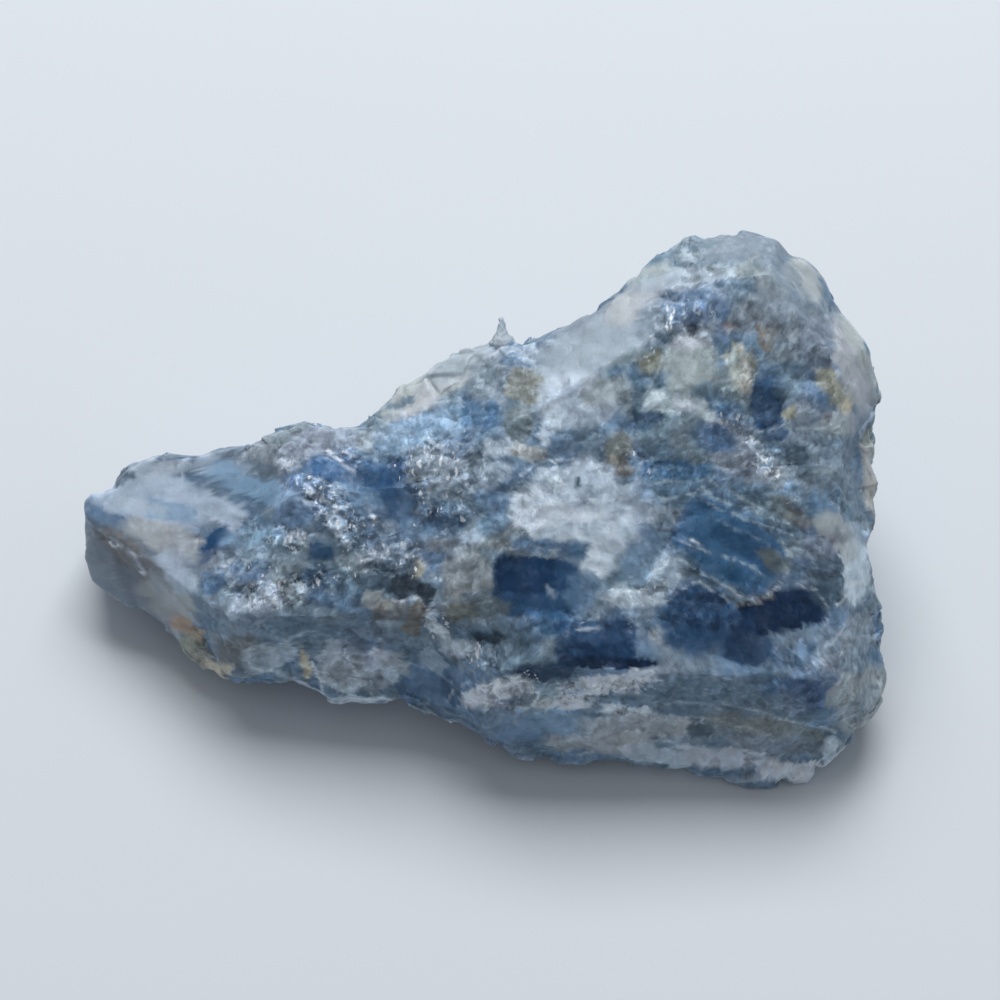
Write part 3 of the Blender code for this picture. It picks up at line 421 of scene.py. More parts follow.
# Thin lines: veins, the lit edges of cleavage steps and the cracks between blocks. Colour, half width in
# hundredths of a mm, strength in percent, and the points it passes through, across and up the face.
STROKES = (
    # End block
    ("umber", 14, 42, -49.1, -3.4, -45.5, -4.8, -41.9, -7.4, -39.5, -11.0, -36.4, -13.7),
    ("pale", 13, 42, -47.9, 0.2, -43.1, 1.4, -37.1, 2.4), ("frost", 14, 42, -45.5, -2.9, -40.7, -3.6, -36.4, -3.4),
    ("frost", 13, 38, -38.1, -4.3, -37.1, -7.2, -36.4, -10.8),
    ("slate", 11, 34, -36.5, 2.2, -35.4, -0.6, -36.2, -3.1), ("frost", 12, 34, -35.9, 2.2, -31.6, 0.0, -28.5, -1.4),
    # Arm
    ("frost", 17, 68, -23.4, 1.9, -22.0, 0.5, -20.4, -0.2, -18.4, -1.4),
    ("white", 14, 68, -25.6, -5.3, -24.9, -3.6, -24.0, -4.6, -23.2, -5.7),
    ("frost", 17, 59, -21.0, -1.7, -19.9, -3.6, -18.4, -5.5),
    ("white", 14, 68, -19.6, -2.9, -18.9, -4.3, -18.0, -5.3), ("frost", 14, 59, -16.0, -1.0, -15.1, -2.2),
    ("white", 20, 68, -20.4, 5.7, -19.2, 4.6, -17.7, 3.6), ("frost", 19, 68, -19.4, 6.5, -18.2, 5.3),
    ("white", 19, 51, -26.3, 5.0, -25.6, 4.1), ("frost", 13, 42, -31.6, -6.7, -32.8, -7.9, -34.5, -9.3),
    ("frost", 13, 42, -29.9, -7.2, -31.4, -8.9, -32.8, -11.0),
    ("frost", 14, 51, -27.1, -9.6, -25.1, -10.8, -24.0, -12.2), ("white", 14, 51, -28.5, -11.0, -27.3, -11.5),
    ("frost", 12, 42, -24.0, -7.2, -21.8, -8.6, -19.9, -10.8),
    ("frost", 13, 51, -19.4, -7.4, -17.7, -8.6, -16.0, -8.4),
    ("frost", 14, 51, -22.0, -18.7, -21.1, -20.1, -20.4, -22.0),
    ("frost", 11, 42, -19.4, -18.2, -18.0, -19.4, -17.2, -21.3),
    ("frost", 14, 51, -14.6, -16.0, -14.1, -18.0, -12.7, -20.1, -11.7, -22.8),
    ("frost", 14, 51, -21.8, -22.8, -20.4, -23.7, -17.7, -24.1, -13.9, -23.7),
    ("frost", 13, 34, -8.4, -24.0, -4.8, -26.1),
    # Middle left
    ("frost", 12, 42, -9.6, 2.6, -7.2, 1.9, -4.6, 0.0), ("frost", 11, 42, -8.4, 3.6, -6.2, 2.6, -3.6, 2.2),
    ("frost", 12, 42, -3.6, -7.2, -2.4, -4.8, 0.0, -2.4, 2.4, -0.6),
    ("frost", 13, 51, -6.0, -7.9, -4.6, -5.7, -3.6, -2.9), ("frost", 11, 42, -2.4, -7.9, -0.2, -5.0, 2.9, -2.9),
    ("frost", 11, 42, 0.0, 0.0, 1.9, 1.7, 3.6, 3.1), ("frost", 14, 51, -9.1, -7.2, -8.4, -8.6, -7.2, -9.6),
    ("white", 14, 59, -8.6, -13.2, -7.7, -14.9, -6.9, -16.3),
    ("frost", 13, 42, -6.7, -15.6, -5.3, -17.5, -3.6, -18.7), ("frost", 13, 42, -2.4, 17.7, 0.5, 18.4, 1.9, 18.0),
    ("frost", 13, 34, -2.6, 15.3, -1.9, 16.8, 0.0, 17.7), ("slate", 11, 42, 3.6, 19.2, 7.2, 20.4, 12.0, 22.8),
    ("gloom", 14, 51, 4.3, 19.6, 6.7, 20.4, 8.6, 21.3), ("gloom", 17, 51, 12.5, 24.0, 14.4, 25.1, 15.8, 26.3),
    # White middle
    ("white", 14, 42, 2.4, 3.1, 5.4, 4.6, 9.0, 5.0), ("white", 13, 42, 10.8, 4.6, 12.5, 2.4, 14.6, 0.0),
    ("white", 13, 34, 11.5, 0.0, 13.9, -3.6, 15.3, -6.2), ("frost", 12, 42, 7.2, -2.4, 9.6, -4.8, 10.3, -7.2),
    ("slate", 9, 34, 7.2, 0.0, 10.8, -0.5, 13.4, -2.4), ("slate", 9, 34, 4.8, -3.6, 7.2, -4.8, 9.6, -4.6),
    ("white", 12, 42, 0.5, -4.8, 2.4, -1.9, 4.8, 0.2),
    # Lower middle
    ("frost", 11, 42, 0.0, -6.2, 3.6, -5.5, 7.2, -6.2), ("frost", 12, 34, 5.4, -10.2, 6.2, -11.0, 6.7, -12.0),
    ("frost", 13, 51, 9.1, -15.6, 12.0, -15.3), ("frost", 11, 42, 12.6, -12.0, 15.8, -11.5, 19.2, -12.0),
    ("frost", 11, 51, 14.4, -10.8, 16.3, -8.6, 18.0, -7.2), ("frost", 11, 42, 16.8, -11.5, 18.2, -9.3, 19.4, -7.2),
    ("frost", 11, 42, 15.1, -13.4, 15.8, -16.0), ("frost", 13, 51, 19.6, -12.0, 22.8, -10.1, 24.0, -9.8),
    # Blue block
    ("frost", 13, 59, 16.8, 0.0, 20.1, 0.2, 22.8, 0.5, 24.0, 1.4),
    ("frost", 13, 59, 24.0, 1.4, 25.9, 0.2, 29.9, -1.2, 34.7, -2.9),
    ("frost", 11, 51, 17.2, 1.9, 20.6, 2.2, 24.4, 2.3), ("frost", 12, 59, 24.7, 2.3, 28.1, 0.7, 31.7, -1.4),
    ("frost", 12, 51, 24.0, 0.0, 25.4, -0.7, 29.3, -2.2, 35.4, -4.3),
    ("frost", 11, 42, 25.4, -2.2, 28.7, -3.6, 32.3, -5.3),
    ("frost", 14, 59, 21.8, -4.9, 24.4, -6.0, 27.5, -6.9, 31.9, -9.1), ("white", 20, 77, 23.0, -4.6, 24.0, -5.3),
    ("frost", 13, 59, 21.6, -7.2, 24.2, -8.6, 27.1, -10.5, 29.2, -11.7),
    ("frost", 14, 59, 29.2, -12.0, 31.9, -11.5, 33.5, -10.1, 35.0, -8.1),
    ("frost", 14, 51, 35.0, -7.9, 34.7, -6.2, 33.8, -4.8), ("frost", 12, 51, 24.0, -9.8, 25.4, -10.8, 27.5, -12.0),
    ("sand", 14, 51, 28.3, -12.5, 30.7, -12.5, 32.8, -11.3),
    ("frost", 12, 42, 35.4, -10.1, 37.8, -10.8, 39.3, -12.7, 38.8, -14.9),
    # Right
    ("white", 17, 68, 41.4, -10.1, 43.4, -9.9), ("white", 17, 59, 40.0, -12.7, 41.2, -11.7, 41.9, -10.8),
    ("frost", 14, 51, 38.1, -18.0, 40.2, -16.8, 41.4, -14.9),
    ("frost", 13, 42, 36.6, -20.1, 39.0, -18.9, 41.4, -18.0),
    ("frost", 14, 51, 40.5, -24.0, 41.2, -21.8, 42.6, -20.1), ("frost", 13, 42, 39.5, 0.0, 41.4, -1.9, 42.6, -4.3),
    ("slate", 14, 51, 43.4, 7.2, 43.4, 3.6, 43.8, 0.0), ("frost", 13, 42, 43.1, 8.4, 43.8, 6.5),
    # Front
    ("white", 17, 59, -4.1, -24.7, -1.7, -23.0, 1.4, -21.8, 3.4, -22.0),
    ("white", 14, 51, 7.2, -23.5, 9.6, -22.3, 12.7, -21.6, 17.7, -20.8),
    ("frost", 14, 51, 4.8, -24.7, 7.9, -23.7, 10.8, -23.2), ("white", 17, 59, 13.4, -25.1, 16.8, -25.4),
    ("frost", 12, 42, 19.9, -24.4, 24.0, -24.4, 26.6, -25.1),
    ("frost", 13, 51, 26.6, -24.4, 31.6, -25.6, 36.6, -26.8, 40.2, -27.8),
    ("frost", 11, 42, 22.8, -25.9, 27.3, -26.6, 32.6, -28.3),
    ("slate", 11, 42, 16.8, -26.1, 22.8, -26.3, 29.9, -27.8),
    ("gloom", 13, 42, 2.4, -29.0, 7.2, -28.5, 12.0, -27.5), ("frost", 12, 42, 9.6, -30.7, 12.0, -29.0, 13.4, -28.5),
    ("frost", 12, 42, 14.4, -29.7, 17.2, -28.7, 21.6, -29.2), ("slate", 11, 42, 21.1, -29.0, 21.3, -31.1),
    # Upper right
    ("frost", 14, 59, 17.5, 12.2, 18.2, 14.4, 20.1, 17.7, 21.8, 19.9),
    ("frost", 13, 51, 19.4, 15.3, 20.6, 17.5, 22.8, 19.6), ("frost", 11, 42, 23.7, 20.4, 25.1, 19.2, 25.9, 17.2),
    ("frost", 12, 42, 25.9, 17.2, 26.3, 14.9, 26.8, 12.5), ("frost", 11, 51, 18.4, 21.8, 19.2, 19.9),
    ("frost", 10, 42, 20.1, 24.0, 20.6, 20.4), ("frost", 10, 42, 21.8, 24.0, 22.3, 20.8),
    ("frost", 10, 42, 23.5, 24.2, 24.0, 20.4), ("frost", 10, 34, 24.9, 24.4, 25.9, 20.8),
    ("pale", 17, 42, 16.3, 23.0, 18.2, 24.9, 22.0, 25.9, 27.5, 25.1, 31.4, 23.7),
    ("frost", 14, 51, 14.4, 16.8, 16.3, 18.2, 18.0, 19.2), ("frost", 13, 42, 14.6, 15.6, 16.8, 17.0, 18.4, 17.7),
    ("frost", 14, 51, 24.0, 9.8, 26.6, 9.1, 29.2, 7.2, 31.1, 5.3),
    ("frost", 14, 42, 22.8, 10.8, 25.1, 11.5, 27.8, 11.5), ("frost", 13, 42, 30.7, 8.4, 33.1, 8.6, 35.4, 9.1),
    ("frost", 13, 42, 29.0, 6.7, 29.2, 3.6), ("frost", 12, 51, 30.9, 6.2, 32.3, 4.6, 34.7, 2.6),
    ("white", 19, 68, 30.8, 5.3, 31.5, 4.8), ("frost", 13, 42, 31.6, 17.7, 32.3, 16.0),
    ("sky", 14, 42, 32.3, 28.5, 33.8, 26.8, 35.4, 24.7), ("frost", 11, 34, 34.7, 28.5, 36.6, 26.3),
    # Light along the lower rim
    ("frost", 24, 80, -29.7, -20.1, -26.8, -20.6, -24.2, -21.6, -22.0, -22.9, -19.6, -24.2, -17.2, -24.6,
     -14.9, -23.8, -12.5, -24.3, -9.6, -25.3, -7.2, -26.1, -4.8, -27.1),
    ("pale", 24, 60, -1.7, -29.7, 2.4, -31.1, 6.7, -31.6, 12.0, -31.6, 16.8, -32.6, 22.8, -33.4, 28.7, -33.8,
     33.3, -33.2),
    # Lit edges of the low front facets
    ("frost", 14, 60, -29.7, -20.1, -30.4, -18.2, -29.0, -17.5, -27.3, -18.0, -26.1, -19.6),
    ("frost", 14, 60, -21.3, -22.8, -20.8, -19.6, -18.7, -18.7, -16.5, -19.6, -15.6, -22.0),
    ("pale", 14, 60, -15.3, -22.8, -16.0, -19.6, -15.1, -17.7, -13.2, -18.2, -12.5, -21.1),
    ("frost", 12, 50, -12.5, -21.1, -11.0, -19.6, -8.4, -20.1, -5.7, -21.8),
    ("pale", 12, 50, -25.6, -16.8, -23.2, -15.6, -20.8, -16.3),
    ("pale", 12, 50, -34.7, -12.0, -32.3, -13.9, -29.7, -14.6, -26.8, -16.0),
    ("frost", 12, 50, -12.5, -12.5, -10.5, -11.5, -9.1, -12.7),
    # Crumpled band of the front: white lines along its crinkles, partly frost and partly painted glints
    ("white", 12, 80, -4.6, -23.2, -2.4, -22.3, 0.0, -21.8, 2.4, -22.0),
    ("white", 12, 70, -3.6, -24.2, -1.0, -23.2, 1.7, -22.8), ("white", 11, 80, 0.0, -24.0, 2.4, -23.2, 4.8, -23.2),
    ("frost", 12, 70, -6.5, -24.0, -5.3, -22.5, -3.6, -21.6),
    ("white", 11, 70, 7.2, -22.8, 9.6, -22.0, 12.2, -21.8),
    ("white", 11, 70, 10.1, -23.2, 12.7, -22.5, 15.6, -22.3),
    ("white", 10, 60, 13.2, -21.6, 16.8, -21.3, 19.2, -21.6),
    ("frost", 11, 60, -2.4, -25.4, 0.0, -24.9, 2.9, -24.7),
    # Ridges of the low crystals
    ("white", 14, 70, -22.5, -19.4, -21.8, -21.1, -21.3, -23.0),
    ("frost", 14, 70, -18.7, -18.0, -18.0, -19.6, -16.5, -21.6, -15.3, -23.2),
    ("gloom", 12, 60, -20.6, -16.5, -18.9, -17.7, -17.7, -17.5),
    ("navy", 14, 60, -11.5, -24.2, -9.1, -24.9, -6.2, -26.1),
    # painted glints: three small white arcs on the end block
    ("white", 10, 80, -46.7, -4.9, -46.2, -5.5, -45.5, -5.5),
    ("white", 10, 80, -44.1, -6.3, -43.5, -6.8, -42.8, -6.7),
    ("white", 10, 70, -43.8, -7.9, -43.2, -8.6, -42.4, -8.7),
    ("pale", 12, 60, -49.8, -2.5, -46.5, -4.6, -41.9, -9.0, -35.9, -15.0),
    ("pale", 11, 60, -36.2, 3.1, -32.7, 4.8, -24.7, 1.3),
)

# The colours between and over the marks. A pair (least, more) is as for the relief.
GROUND_DRIFTS = (("mid", 0.5, 0.5, 1.0, 7.0, 72), ("ash", 0.0, 0.5, 0.7, 5.0, 73))
# colour, its share where the field is nought, how fast that changes, the most, length in mm, seed
EDGE_DRIFT = ((1.0, 2.6, (70, 71)), (0.5, 1.1, (68, 69)))  # how marks' edges wander: amount, length in mm, seeds
# Painted light and shade on the crinkles: a highlight in the frost colour on their tops, where smooth and more where
# rough, and dimmer feet.
CRINKLE_HIGHLIGHT = (0.10, 0.25)
CRINKLE_LIGHT = (0.9, 0.1)  # how fast a crinkle's painted highlight grows towards its top, and where it begins
CRINKLE_SHADE = 0.15  # painted shade: how much dimmer a crinkle is at its foot
LINE_ROOM = 4.0  # half widths to each side of a line that are looked at
LINE_WANDER = 0.16
LINE_BREAKS = (0.75, 0.35, 1.5, 67)  # how strong a line is, how far that strays, over what length in mm, seed
BEHIND_HOLD = 0.9  # how far the colours behind the rim keep to whole corners
BEHIND_DRIFTS = (
    ("pale", 0.8, 13.0, 0.4, 0.9, 74),
    ("deep", 0.85, 10.0, -0.1, 1.3, 75),
    ("ash", 0.7, 8.0, -0.1, 1.4, 76),
    ("olive", 0.7, 11.0, -0.9, 1.6, 77),
    ("frost", 0.7, 5.0, -0.5, 1.2, 78),
    ("slate", 0.6, 4.0, -0.2, 1.2, 66),
)  # colour, strength, size of the drift in mm, how much of it there is, how sharp it is, seed
GRAIN_SHADES = (0.05, 0.02)  # how far grains differ in lightness, and in each of red, green and blue
CORNER_SHADES = (0.04, 0.45)  # painted shade: how far corners of the middle size differ in lightness, which sets their facets apart as light would
# painted shade: likewise for the small corners
SMALL_CORNER_SHADES = (0.0, 0.30)
SIDE_SHADES = (0.1, 1.4)  # painted light and shade: how far a corner's lighter side and its darker side differ, each corner turned its own way
VEINS = (7.0, 0.06, 80)  # length in mm, width, seed
VEIN_GAPS = (0.5, 0.9, 1.6)  # the share of them that shows, how sharply they end, length of the gaps for theirs
VEIN_FROST = (0.12, 0.35)
GRAIN_FROST, GRAIN_FROST_REACH = 0.06, 0.30  # along the borders of grains: amount, and reach in mm
# painted highlight in the frost colour along the borders of corners, by how rough: amount, and reach in mm
CORNER_HIGHLIGHT, CORNER_HIGHLIGHT_REACH = 0.35, 0.12
# painted highlight in the frost colour on outward edges
EDGE_HIGHLIGHT = 0.15
FULL_BULGE = 0.10  # mm that a point stands out of its neighbours where it counts as an edge, or in as a crease
FROSTED_FROM = 0.25  # stone at least this light takes the frost and the painted highlights fully
LEAST_FROSTED = 0.15  # how much of them the dark clear blocks take
MOST_FROST = 0.7
CREASE_SHADE = 0.12
WHITEST = (0.71, 0.80, 0.90)  # the lightest that the stone gets, as light values
BRIGHTNESS = 1.62  # the palette is as it looks on the shaded face; the stone is this much lighter

# Where the break is rough and catches the light: place, half length and half width, turn, amount in percent.
HACKLY = (
    (-26.0, 4.7, 1.2, 1.1, 0, 90), (-18.6, 5.0, 2.6, 1.8, -30, 100), (-21.0, 0.0, 3.6, 2.6, -30, 100),
    (-18.6, -3.6, 1.9, 3.6, 35, 100), (-24.9, -4.8, 2.9, 1.8, -20, 90), (-16.2, -2.2, 1.7, 1.4, 0, 80),
    (-28.5, -7.4, 3.6, 1.4, 15, 60), (-26.9, -11.0, 5.3, 2.2, 10, 90), (-19.8, -9.0, 3.1, 1.4, -30, 60),
    (-7.2, 2.4, 5.7, 6.0, 0, 70), (-13.2, -7.2, 4.3, 2.6, 0, 70), (-8.1, -14.4, 1.4, 2.6, 30, 80),
    (-3.6, 6.0, 4.3, 3.1, 0, 50), (16.8, 4.6, 4.8, 1.4, -10, 60), (22.8, 21.8, 4.6, 3.1, 0, 60),
    (15.8, 18.0, 2.9, 1.7, 30, 70), (0.0, -23.0, 5.3, 1.7, 12, 100), (12.6, -22.5, 6.5, 1.3, 8, 100),
    (7.2, -24.2, 4.1, 0.7, 8, 80), (15.0, -25.1, 2.4, 0.7, -3, 100), (31.1, 5.0, 3.6, 2.4, -35, 80),
    (16.8, -11.0, 4.3, 1.7, 0, 60), (18.0, -7.2, 3.6, 2.6, 0, 50), (10.8, -15.3, 3.1, 0.7, 0, 60),
    (-2.4, -18.6, 4.1, 1.4, -15, 70), (35.9, -1.0, 2.2, 1.0, -30, 70), (39.5, -18.6, 3.1, 1.4, 30, 50),
    (28.1, 9.0, 3.6, 1.4, -30, 60), (-17.4, -22.8, 4.8, 1.0, 0, 40), (-34.1, -12.0, 1.7, 1.2, 0, 40),
)

# Where it is smooth, likewise.
SMOOTH = (
    (-44.3, -8.4, 10.5, 4.3, -42, 100), (-41.9, 0.0, 7.4, 4.3, -12, 100), (-38.9, -6.6, 4.8, 2.2, -47, 80),
    (-31.1, 1.8, 5.7, 3.1, -28, 100), (-34.4, -1.8, 3.6, 1.7, -20, 90), (-41.9, 3.6, 5.0, 1.4, 6, 60),
    (-34.1, -4.9, 3.0, 1.3, 45, 100), (10.8, 18.6, 7.2, 3.6, 30, 100), (-7.2, 14.9, 8.9, 2.6, 32, 90),
    (16.8, 25.1, 5.3, 2.2, 45, 90), (4.8, -10.3, 5.5, 3.4, -3, 80), (28.1, -5.4, 6.9, 3.7, -32, 70),
    (34.7, -13.4, 5.0, 3.1, 18, 60), (12.0, -17.0, 4.3, 1.9, 0, 60), (29.3, 30.2, 5.7, 1.9, 0, 80),
    (36.6, 26.3, 1.9, 3.1, 30, 80), (33.1, 26.3, 2.9, 2.4, 0, 60), (42.6, -8.9, 1.9, 4.1, 0, 70),
    (-16.8, 2.4, 5.5, 1.4, -12, 60), (-12.6, 0.0, 1.9, 4.1, 8, 60), (-21.6, -5.7, 2.0, 1.4, 0, 80),
    (43.1, 16.2, 2.2, 6.0, 14, 80), (40.5, -4.2, 3.4, 1.9, -50, 70), (22.8, 16.2, 2.6, 2.9, 0, 50),
    (9.6, 11.4, 4.3, 3.4, 0, 40), (19.2, -30.2, 10.8, 1.7, -3, 40), (3.0, -28.1, 4.3, 1.7, 8, 50),
    (-7.2, -22.3, 4.3, 2.9, -35, 50), (12.0, -4.2, 7.2, 6.0, -40, 60), (43.4, 9.6, 2.4, 14.4, 6, 60),
    (22.8, 15.3, 3.1, 2.6, 0, 30), (39.5, 24.0, 4.8, 3.6, -50, 40), (24.0, -18.0, 8.4, 2.6, 0, 50),
)


def unit(vectors):
    """Give each vector the length one."""
    return vectors / np.linalg.norm(vectors, axis=-1, keepdims=True)


def to_world(points):
    """Turn points from the frame of the face to x, y, z from the floor."""
    turned = points[..., 0:1] * ACROSS + points[..., 1:2] * UP_FACE + points[..., 2:3] * OUT
    return turned + np.array((0.0, 0.0, FACE_ORIGIN_HEIGHT))


def to_face(points):
    """Turn points given as x, y, z from the floor to the frame of the face."""
    moved = points - np.array((0.0, 0.0, FACE_ORIGIN_HEIGHT))
    return np.stack((moved @ ACROSS, moved @ UP_FACE, moved @ OUT), axis=-1)


def directions_of_half(side, size):
    """Spread a square grid over one half of a ball: side is 1 for the broad face and -1 for the hidden side."""
    line = np.linspace(-1.0, 1.0, size)
    a, b = np.meshgrid(line, line, indexing="ij")
    x = a * np.sqrt(1.0 - b * b / 2.0)
    y = b * np.sqrt(1.0 - a * a / 2.0)
    from_middle = np.hypot(x, y)
    turn = np.arctan2(y, x)
    polar = from_middle * math.pi / 2.0
    ball = np.stack((np.sin(polar) * np.cos(turn), np.sin(polar) * np.sin(turn), side * np.cos(polar)), axis=-1)
    return unit(ball * SPREAD)


def swollen_rim(directions):
    """Swell the rim to both sides: a ball of the given power whose waist is the rim."""
    rim = np.array(RIM) - HEART[:2]
    rim_turn = np.arctan2(rim[:, 1], rim[:, 0])
    rim_reach = np.hypot(rim[:, 0], rim[:, 1])
    turn = np.arctan2(directions[..., 1], directions[..., 0])
    reach = np.interp(turn, rim_turn, rim_reach, period=2.0 * math.pi)
    level = np.hypot(directions[..., 0], directions[..., 1])
    swell = np.where(directions[..., 2] > 0.0, SWELL_OUT, SWELL_BACK)
    sum_of_powers = (level / (reach - RIM_INSET)) ** SWELL_POWER + (np.abs(directions[..., 2]) / swell) ** SWELL_POWER
    return HEART + directions * (sum_of_powers ** (-1.0 / SWELL_POWER))[..., None]


def arm_drop(points):
    """How far the arm has fallen away from the broad face: nought where it starts, and more towards its end."""
    along = np.clip((ARM_START - points[..., 0]) / (ARM_START - ARM_END), 0.0, None)
    return ARM_FALL * along ** ARM_FALL_POWER


def drop_arm(points):
    """Let the thin arm fall away from the broad face."""
    dropped = points.copy()
    dropped[..., 2] -= arm_drop(points)
    return dropped


def anchors(points):
    """The point of the spine that each point of the surface is cut towards."""
    spine = np.array(SPINE)
    across = HEART[0] + SPINE_SHARE * (points[..., 0] - HEART[0])
    return np.stack([np.interp(across, spine[:, 0], spine[:, k]) for k in (0, 1, 2)], axis=-1)


def cut_by_plane(points, plane_point, outward, weight=1.0):
    """Pull what is beyond a plane back to it, straight towards the spine; weight is the share of the way."""
    anchor = anchors(points)
    from_anchor = points - anchor
    beyond = from_anchor @ outward
    allowed = np.maximum((plane_point - anchor) @ outward, LEAST_DEPTH)
    share = np.where(beyond > allowed, allowed / np.maximum(beyond, TINY), 1.0)
    return anchor + from_anchor * (1.0 + (share - 1.0) * weight)[..., None]


def soft_step(values):
    """Rise smoothly from nothing at zero to one at one."""
    held = np.clip(values, 0.0, 1.0)
    return held * held * (3.0 - 2.0 * held)


def cut_facets(points):
    """Cut all the large facets, each within its reach and clear of the rim."""
    guard = soft_step(rim_distance(points) / RIM_GUARD)
    cuts = [(np.array(place), unit(np.array(outward)), reach) for _, place, outward, reach in FACETS]
    for _, place, outward, reach in UNDERSIDE_FACETS:
        face_place = to_face(np.array(place))
        face_outward = to_face(np.array(place) + np.array(outward)) - face_place
        cuts.append((face_place, unit(face_outward), reach))
    for place, outward, reach in cuts:
        distance = np.linalg.norm(points - place, axis=-1)
        weight = guard * soft_step(FACET_HOLD - FACET_FADE * distance / reach)
        points = cut_by_plane(points, place, outward, weight)
    return points


def smooth(values, rounds):
    """Replace each point of a grid by the mean of itself and its four neighbours."""
    for _ in range(rounds):
        padded = np.pad(values, ((1, 1), (1, 1), (0, 0)), mode="edge")
        values = 0.2 * (values + padded[:-2, 1:-1] + padded[2:, 1:-1] + padded[1:-1, :-2] + padded[1:-1, 2:])
    return values


def outward_normals(points):
    """Directions square to the form, blended along the rim so that both halves agree there."""
    along_a = np.gradient(points, axis=0)
    along_b = np.gradient(points, axis=1)
    normals = np.cross(along_a, along_b)
    normals = normals / np.maximum(np.linalg.norm(normals, axis=-1, keepdims=True), TINY)
    from_spine = unit(points - anchors(points))
    outwards = np.sum(normals * from_spine, axis=-1, keepdims=True)
    normals = normals * np.sign(np.where(np.abs(outwards) < TINY, 1.0, outwards))
    normals = unit(smooth(normals, NORMAL_ROUNDS) + SPINE_PULL * from_spine)
    in_rim_plane = unit(from_spine * RIM_FLATTENING)
    closeness = rim_closeness(points.shape[0])[..., None]
    return unit(normals * (1.0 - closeness) + in_rim_plane * closeness)


def push_hollows(points, normals):
    """Sink the hollows and raise the swellings."""
    moved = points.copy()
    for middle, radius, height in HOLLOWS:
        distance = np.linalg.norm(points - np.array(middle), axis=-1)
        moved += normals * (height * np.exp(-((distance / radius) ** 2)))[..., None]
    return moved


def rim_closeness(size):
    """One on the border of a grid, which is the rim, falling to nothing RIM_ROWS points inside it."""
    line = np.arange(size)
    from_edge = np.minimum(line, size - 1 - line)
    from_border = np.minimum(from_edge[:, None], from_edge[None, :])
    return np.clip(1.0 - from_border / RIM_ROWS, 0.0, 1.0) ** RIM_POWER


def wave_noise(points, length, seed):
    """A smooth uneven field between about -1 and 1: the sum of WAVES waves in random directions."""
    random = np.random.default_rng(seed)
    waves = random.normal(size=(WAVES, 3)) * (2.0 * math.pi / length / WAVE_SPREAD)
    phases = random.uniform(0.0, 2.0 * math.pi, WAVES)
    return np.sin(points @ waves.T + phases).sum(axis=-1) / WAVE_HEIGHT


def wave_sum(points, waves):
    """The sum of uneven fields, each given by its amount, length and seed."""
    return sum(amount * wave_noise(points, length, seed) for amount, length, seed in waves)


def side_by_side(points, length, seeds):
    """Uneven fields of one length, one for each seed, as the parts of a move."""
    return np.stack([wave_noise(points, length, seed) for seed in seeds], axis=-1)


def place_grains(points, normals, broad_face):
    """Choose the grains: the flat ones given above, then seeded ones at least GRAIN_SPACING apart."""
    random = np.random.default_rng(SEED)
    centres = [point_on_face(broad_face, grain[0]) for grain in FLAT_GRAINS]
    reaches = [grain[1] for grain in FLAT_GRAINS]
    outwards = [unit(np.array(grain[2])) for grain in FLAT_GRAINS]
    steps = [grain[3] for grain in FLAT_GRAINS]
    all_points = points.reshape(-1, 3)
    all_normals = normals.reshape(-1, 3)
    wanted = len(centres) + GRAIN_COUNT
    for choice in random.integers(0, len(all_points), GRAIN_TRIES):
        if len(centres) == wanted:
            break
        point = all_points[choice]
        gaps = np.linalg.norm(np.array(centres) - point, axis=1) - GRAIN_ROOM * np.array(reaches)
        if gaps.min() < GRAIN_SPACING:
            continue
        lean = random.normal(size=3)
        lean -= all_normals[choice] * (lean @ all_normals[choice])
        tilt = GRAIN_TILT * math.sqrt(random.uniform(0.0, 1.0))
        centres.append(point)
        reaches.append(random.uniform(*GRAIN_REACH))
        outwards.append(all_normals[choice] * math.cos(tilt) + unit(lean) * math.sin(tilt))
        steps.append(random.uniform(*STEP_HEIGHT))
    return np.array(centres), np.array(reaches), np.array(outwards), np.array(steps)


def point_on_face(broad_face, place):
    """The point of the broad face that is seen at a place of its frame."""
    flat = broad_face.reshape(-1, 3)
    return flat[np.argmin(np.hypot(flat[:, 0] - place[0], flat[:, 1] - place[1]))]


def grain_distances(points, grains):
    """For each batch of points, its slice and the squared distance to every grain, less its reach squared.

    The points are moved a little by a field first, so that the borders between grains wander.
    """
    centres, reaches, _, _ = grains
    amount, length = GRAIN_WANDER
    moved = points + amount * side_by_side(points, length, (SEED + 1, SEED + 2, SEED + 3))
    for start in range(0, len(moved), BATCH):
        part = moved[start:start + BATCH]
        squared = (part ** 2).sum(axis=1)[:, None] - 2.0 * part @ centres.T + (centres ** 2).sum(axis=1)
        yield slice(start, start + BATCH), squared - reaches ** 2


def nearest_grain(points, grains):
    """The grain that each point belongs to; a grain with a long reach takes more room."""
    owner = np.empty(len(points), dtype=int)
    for batch, squared in grain_distances(points, grains):
        owner[batch] = np.argmin(squared, axis=1)
    return owner


def block_axes(count):
    """A seeded direction for each grain that its blocks are lined up with."""
    return unit(np.random.default_rng(SEED + 11).normal(size=(count, 3)))


def block_shift(offset, axis, size):
    """The move along an axis from each point to the middle of its block."""
    along = np.sum(offset * axis, axis=-1)
    return axis * (size * np.round(along / size) - along)[..., None]


def above_rim(points):
    """How far each point is above the plane of the rim, with the fall of the arm taken off."""
    return points[..., 2] + arm_drop(points)


def rim_distance(points):
    """How far each point is from the plane of the rim, to either side."""
    return np.abs(above_rim(points))


def flatten_foot(points):
    """Cut the lump by the surface that it lies on."""
    origin = to_face(np.zeros(3))
    return cut_by_plane(points, origin, origin - to_face(np.array((0.0, 0.0, 1.0))))


def make_bigger(grid, size):
    """Lay a finer square grid over a grid of points by blending each four neighbours in both directions."""
    line = np.linspace(0.0, grid.shape[0] - 1.0, size)
    low = np.minimum(line.astype(int), grid.shape[0] - 2)
    share = line - low
    rows = grid[low] * (1.0 - share)[:, None, None] + grid[low + 1] * share[:, None, None]
    return rows[:, low] * (1.0 - share)[None, :, None] + rows[:, low + 1] * share[None, :, None]


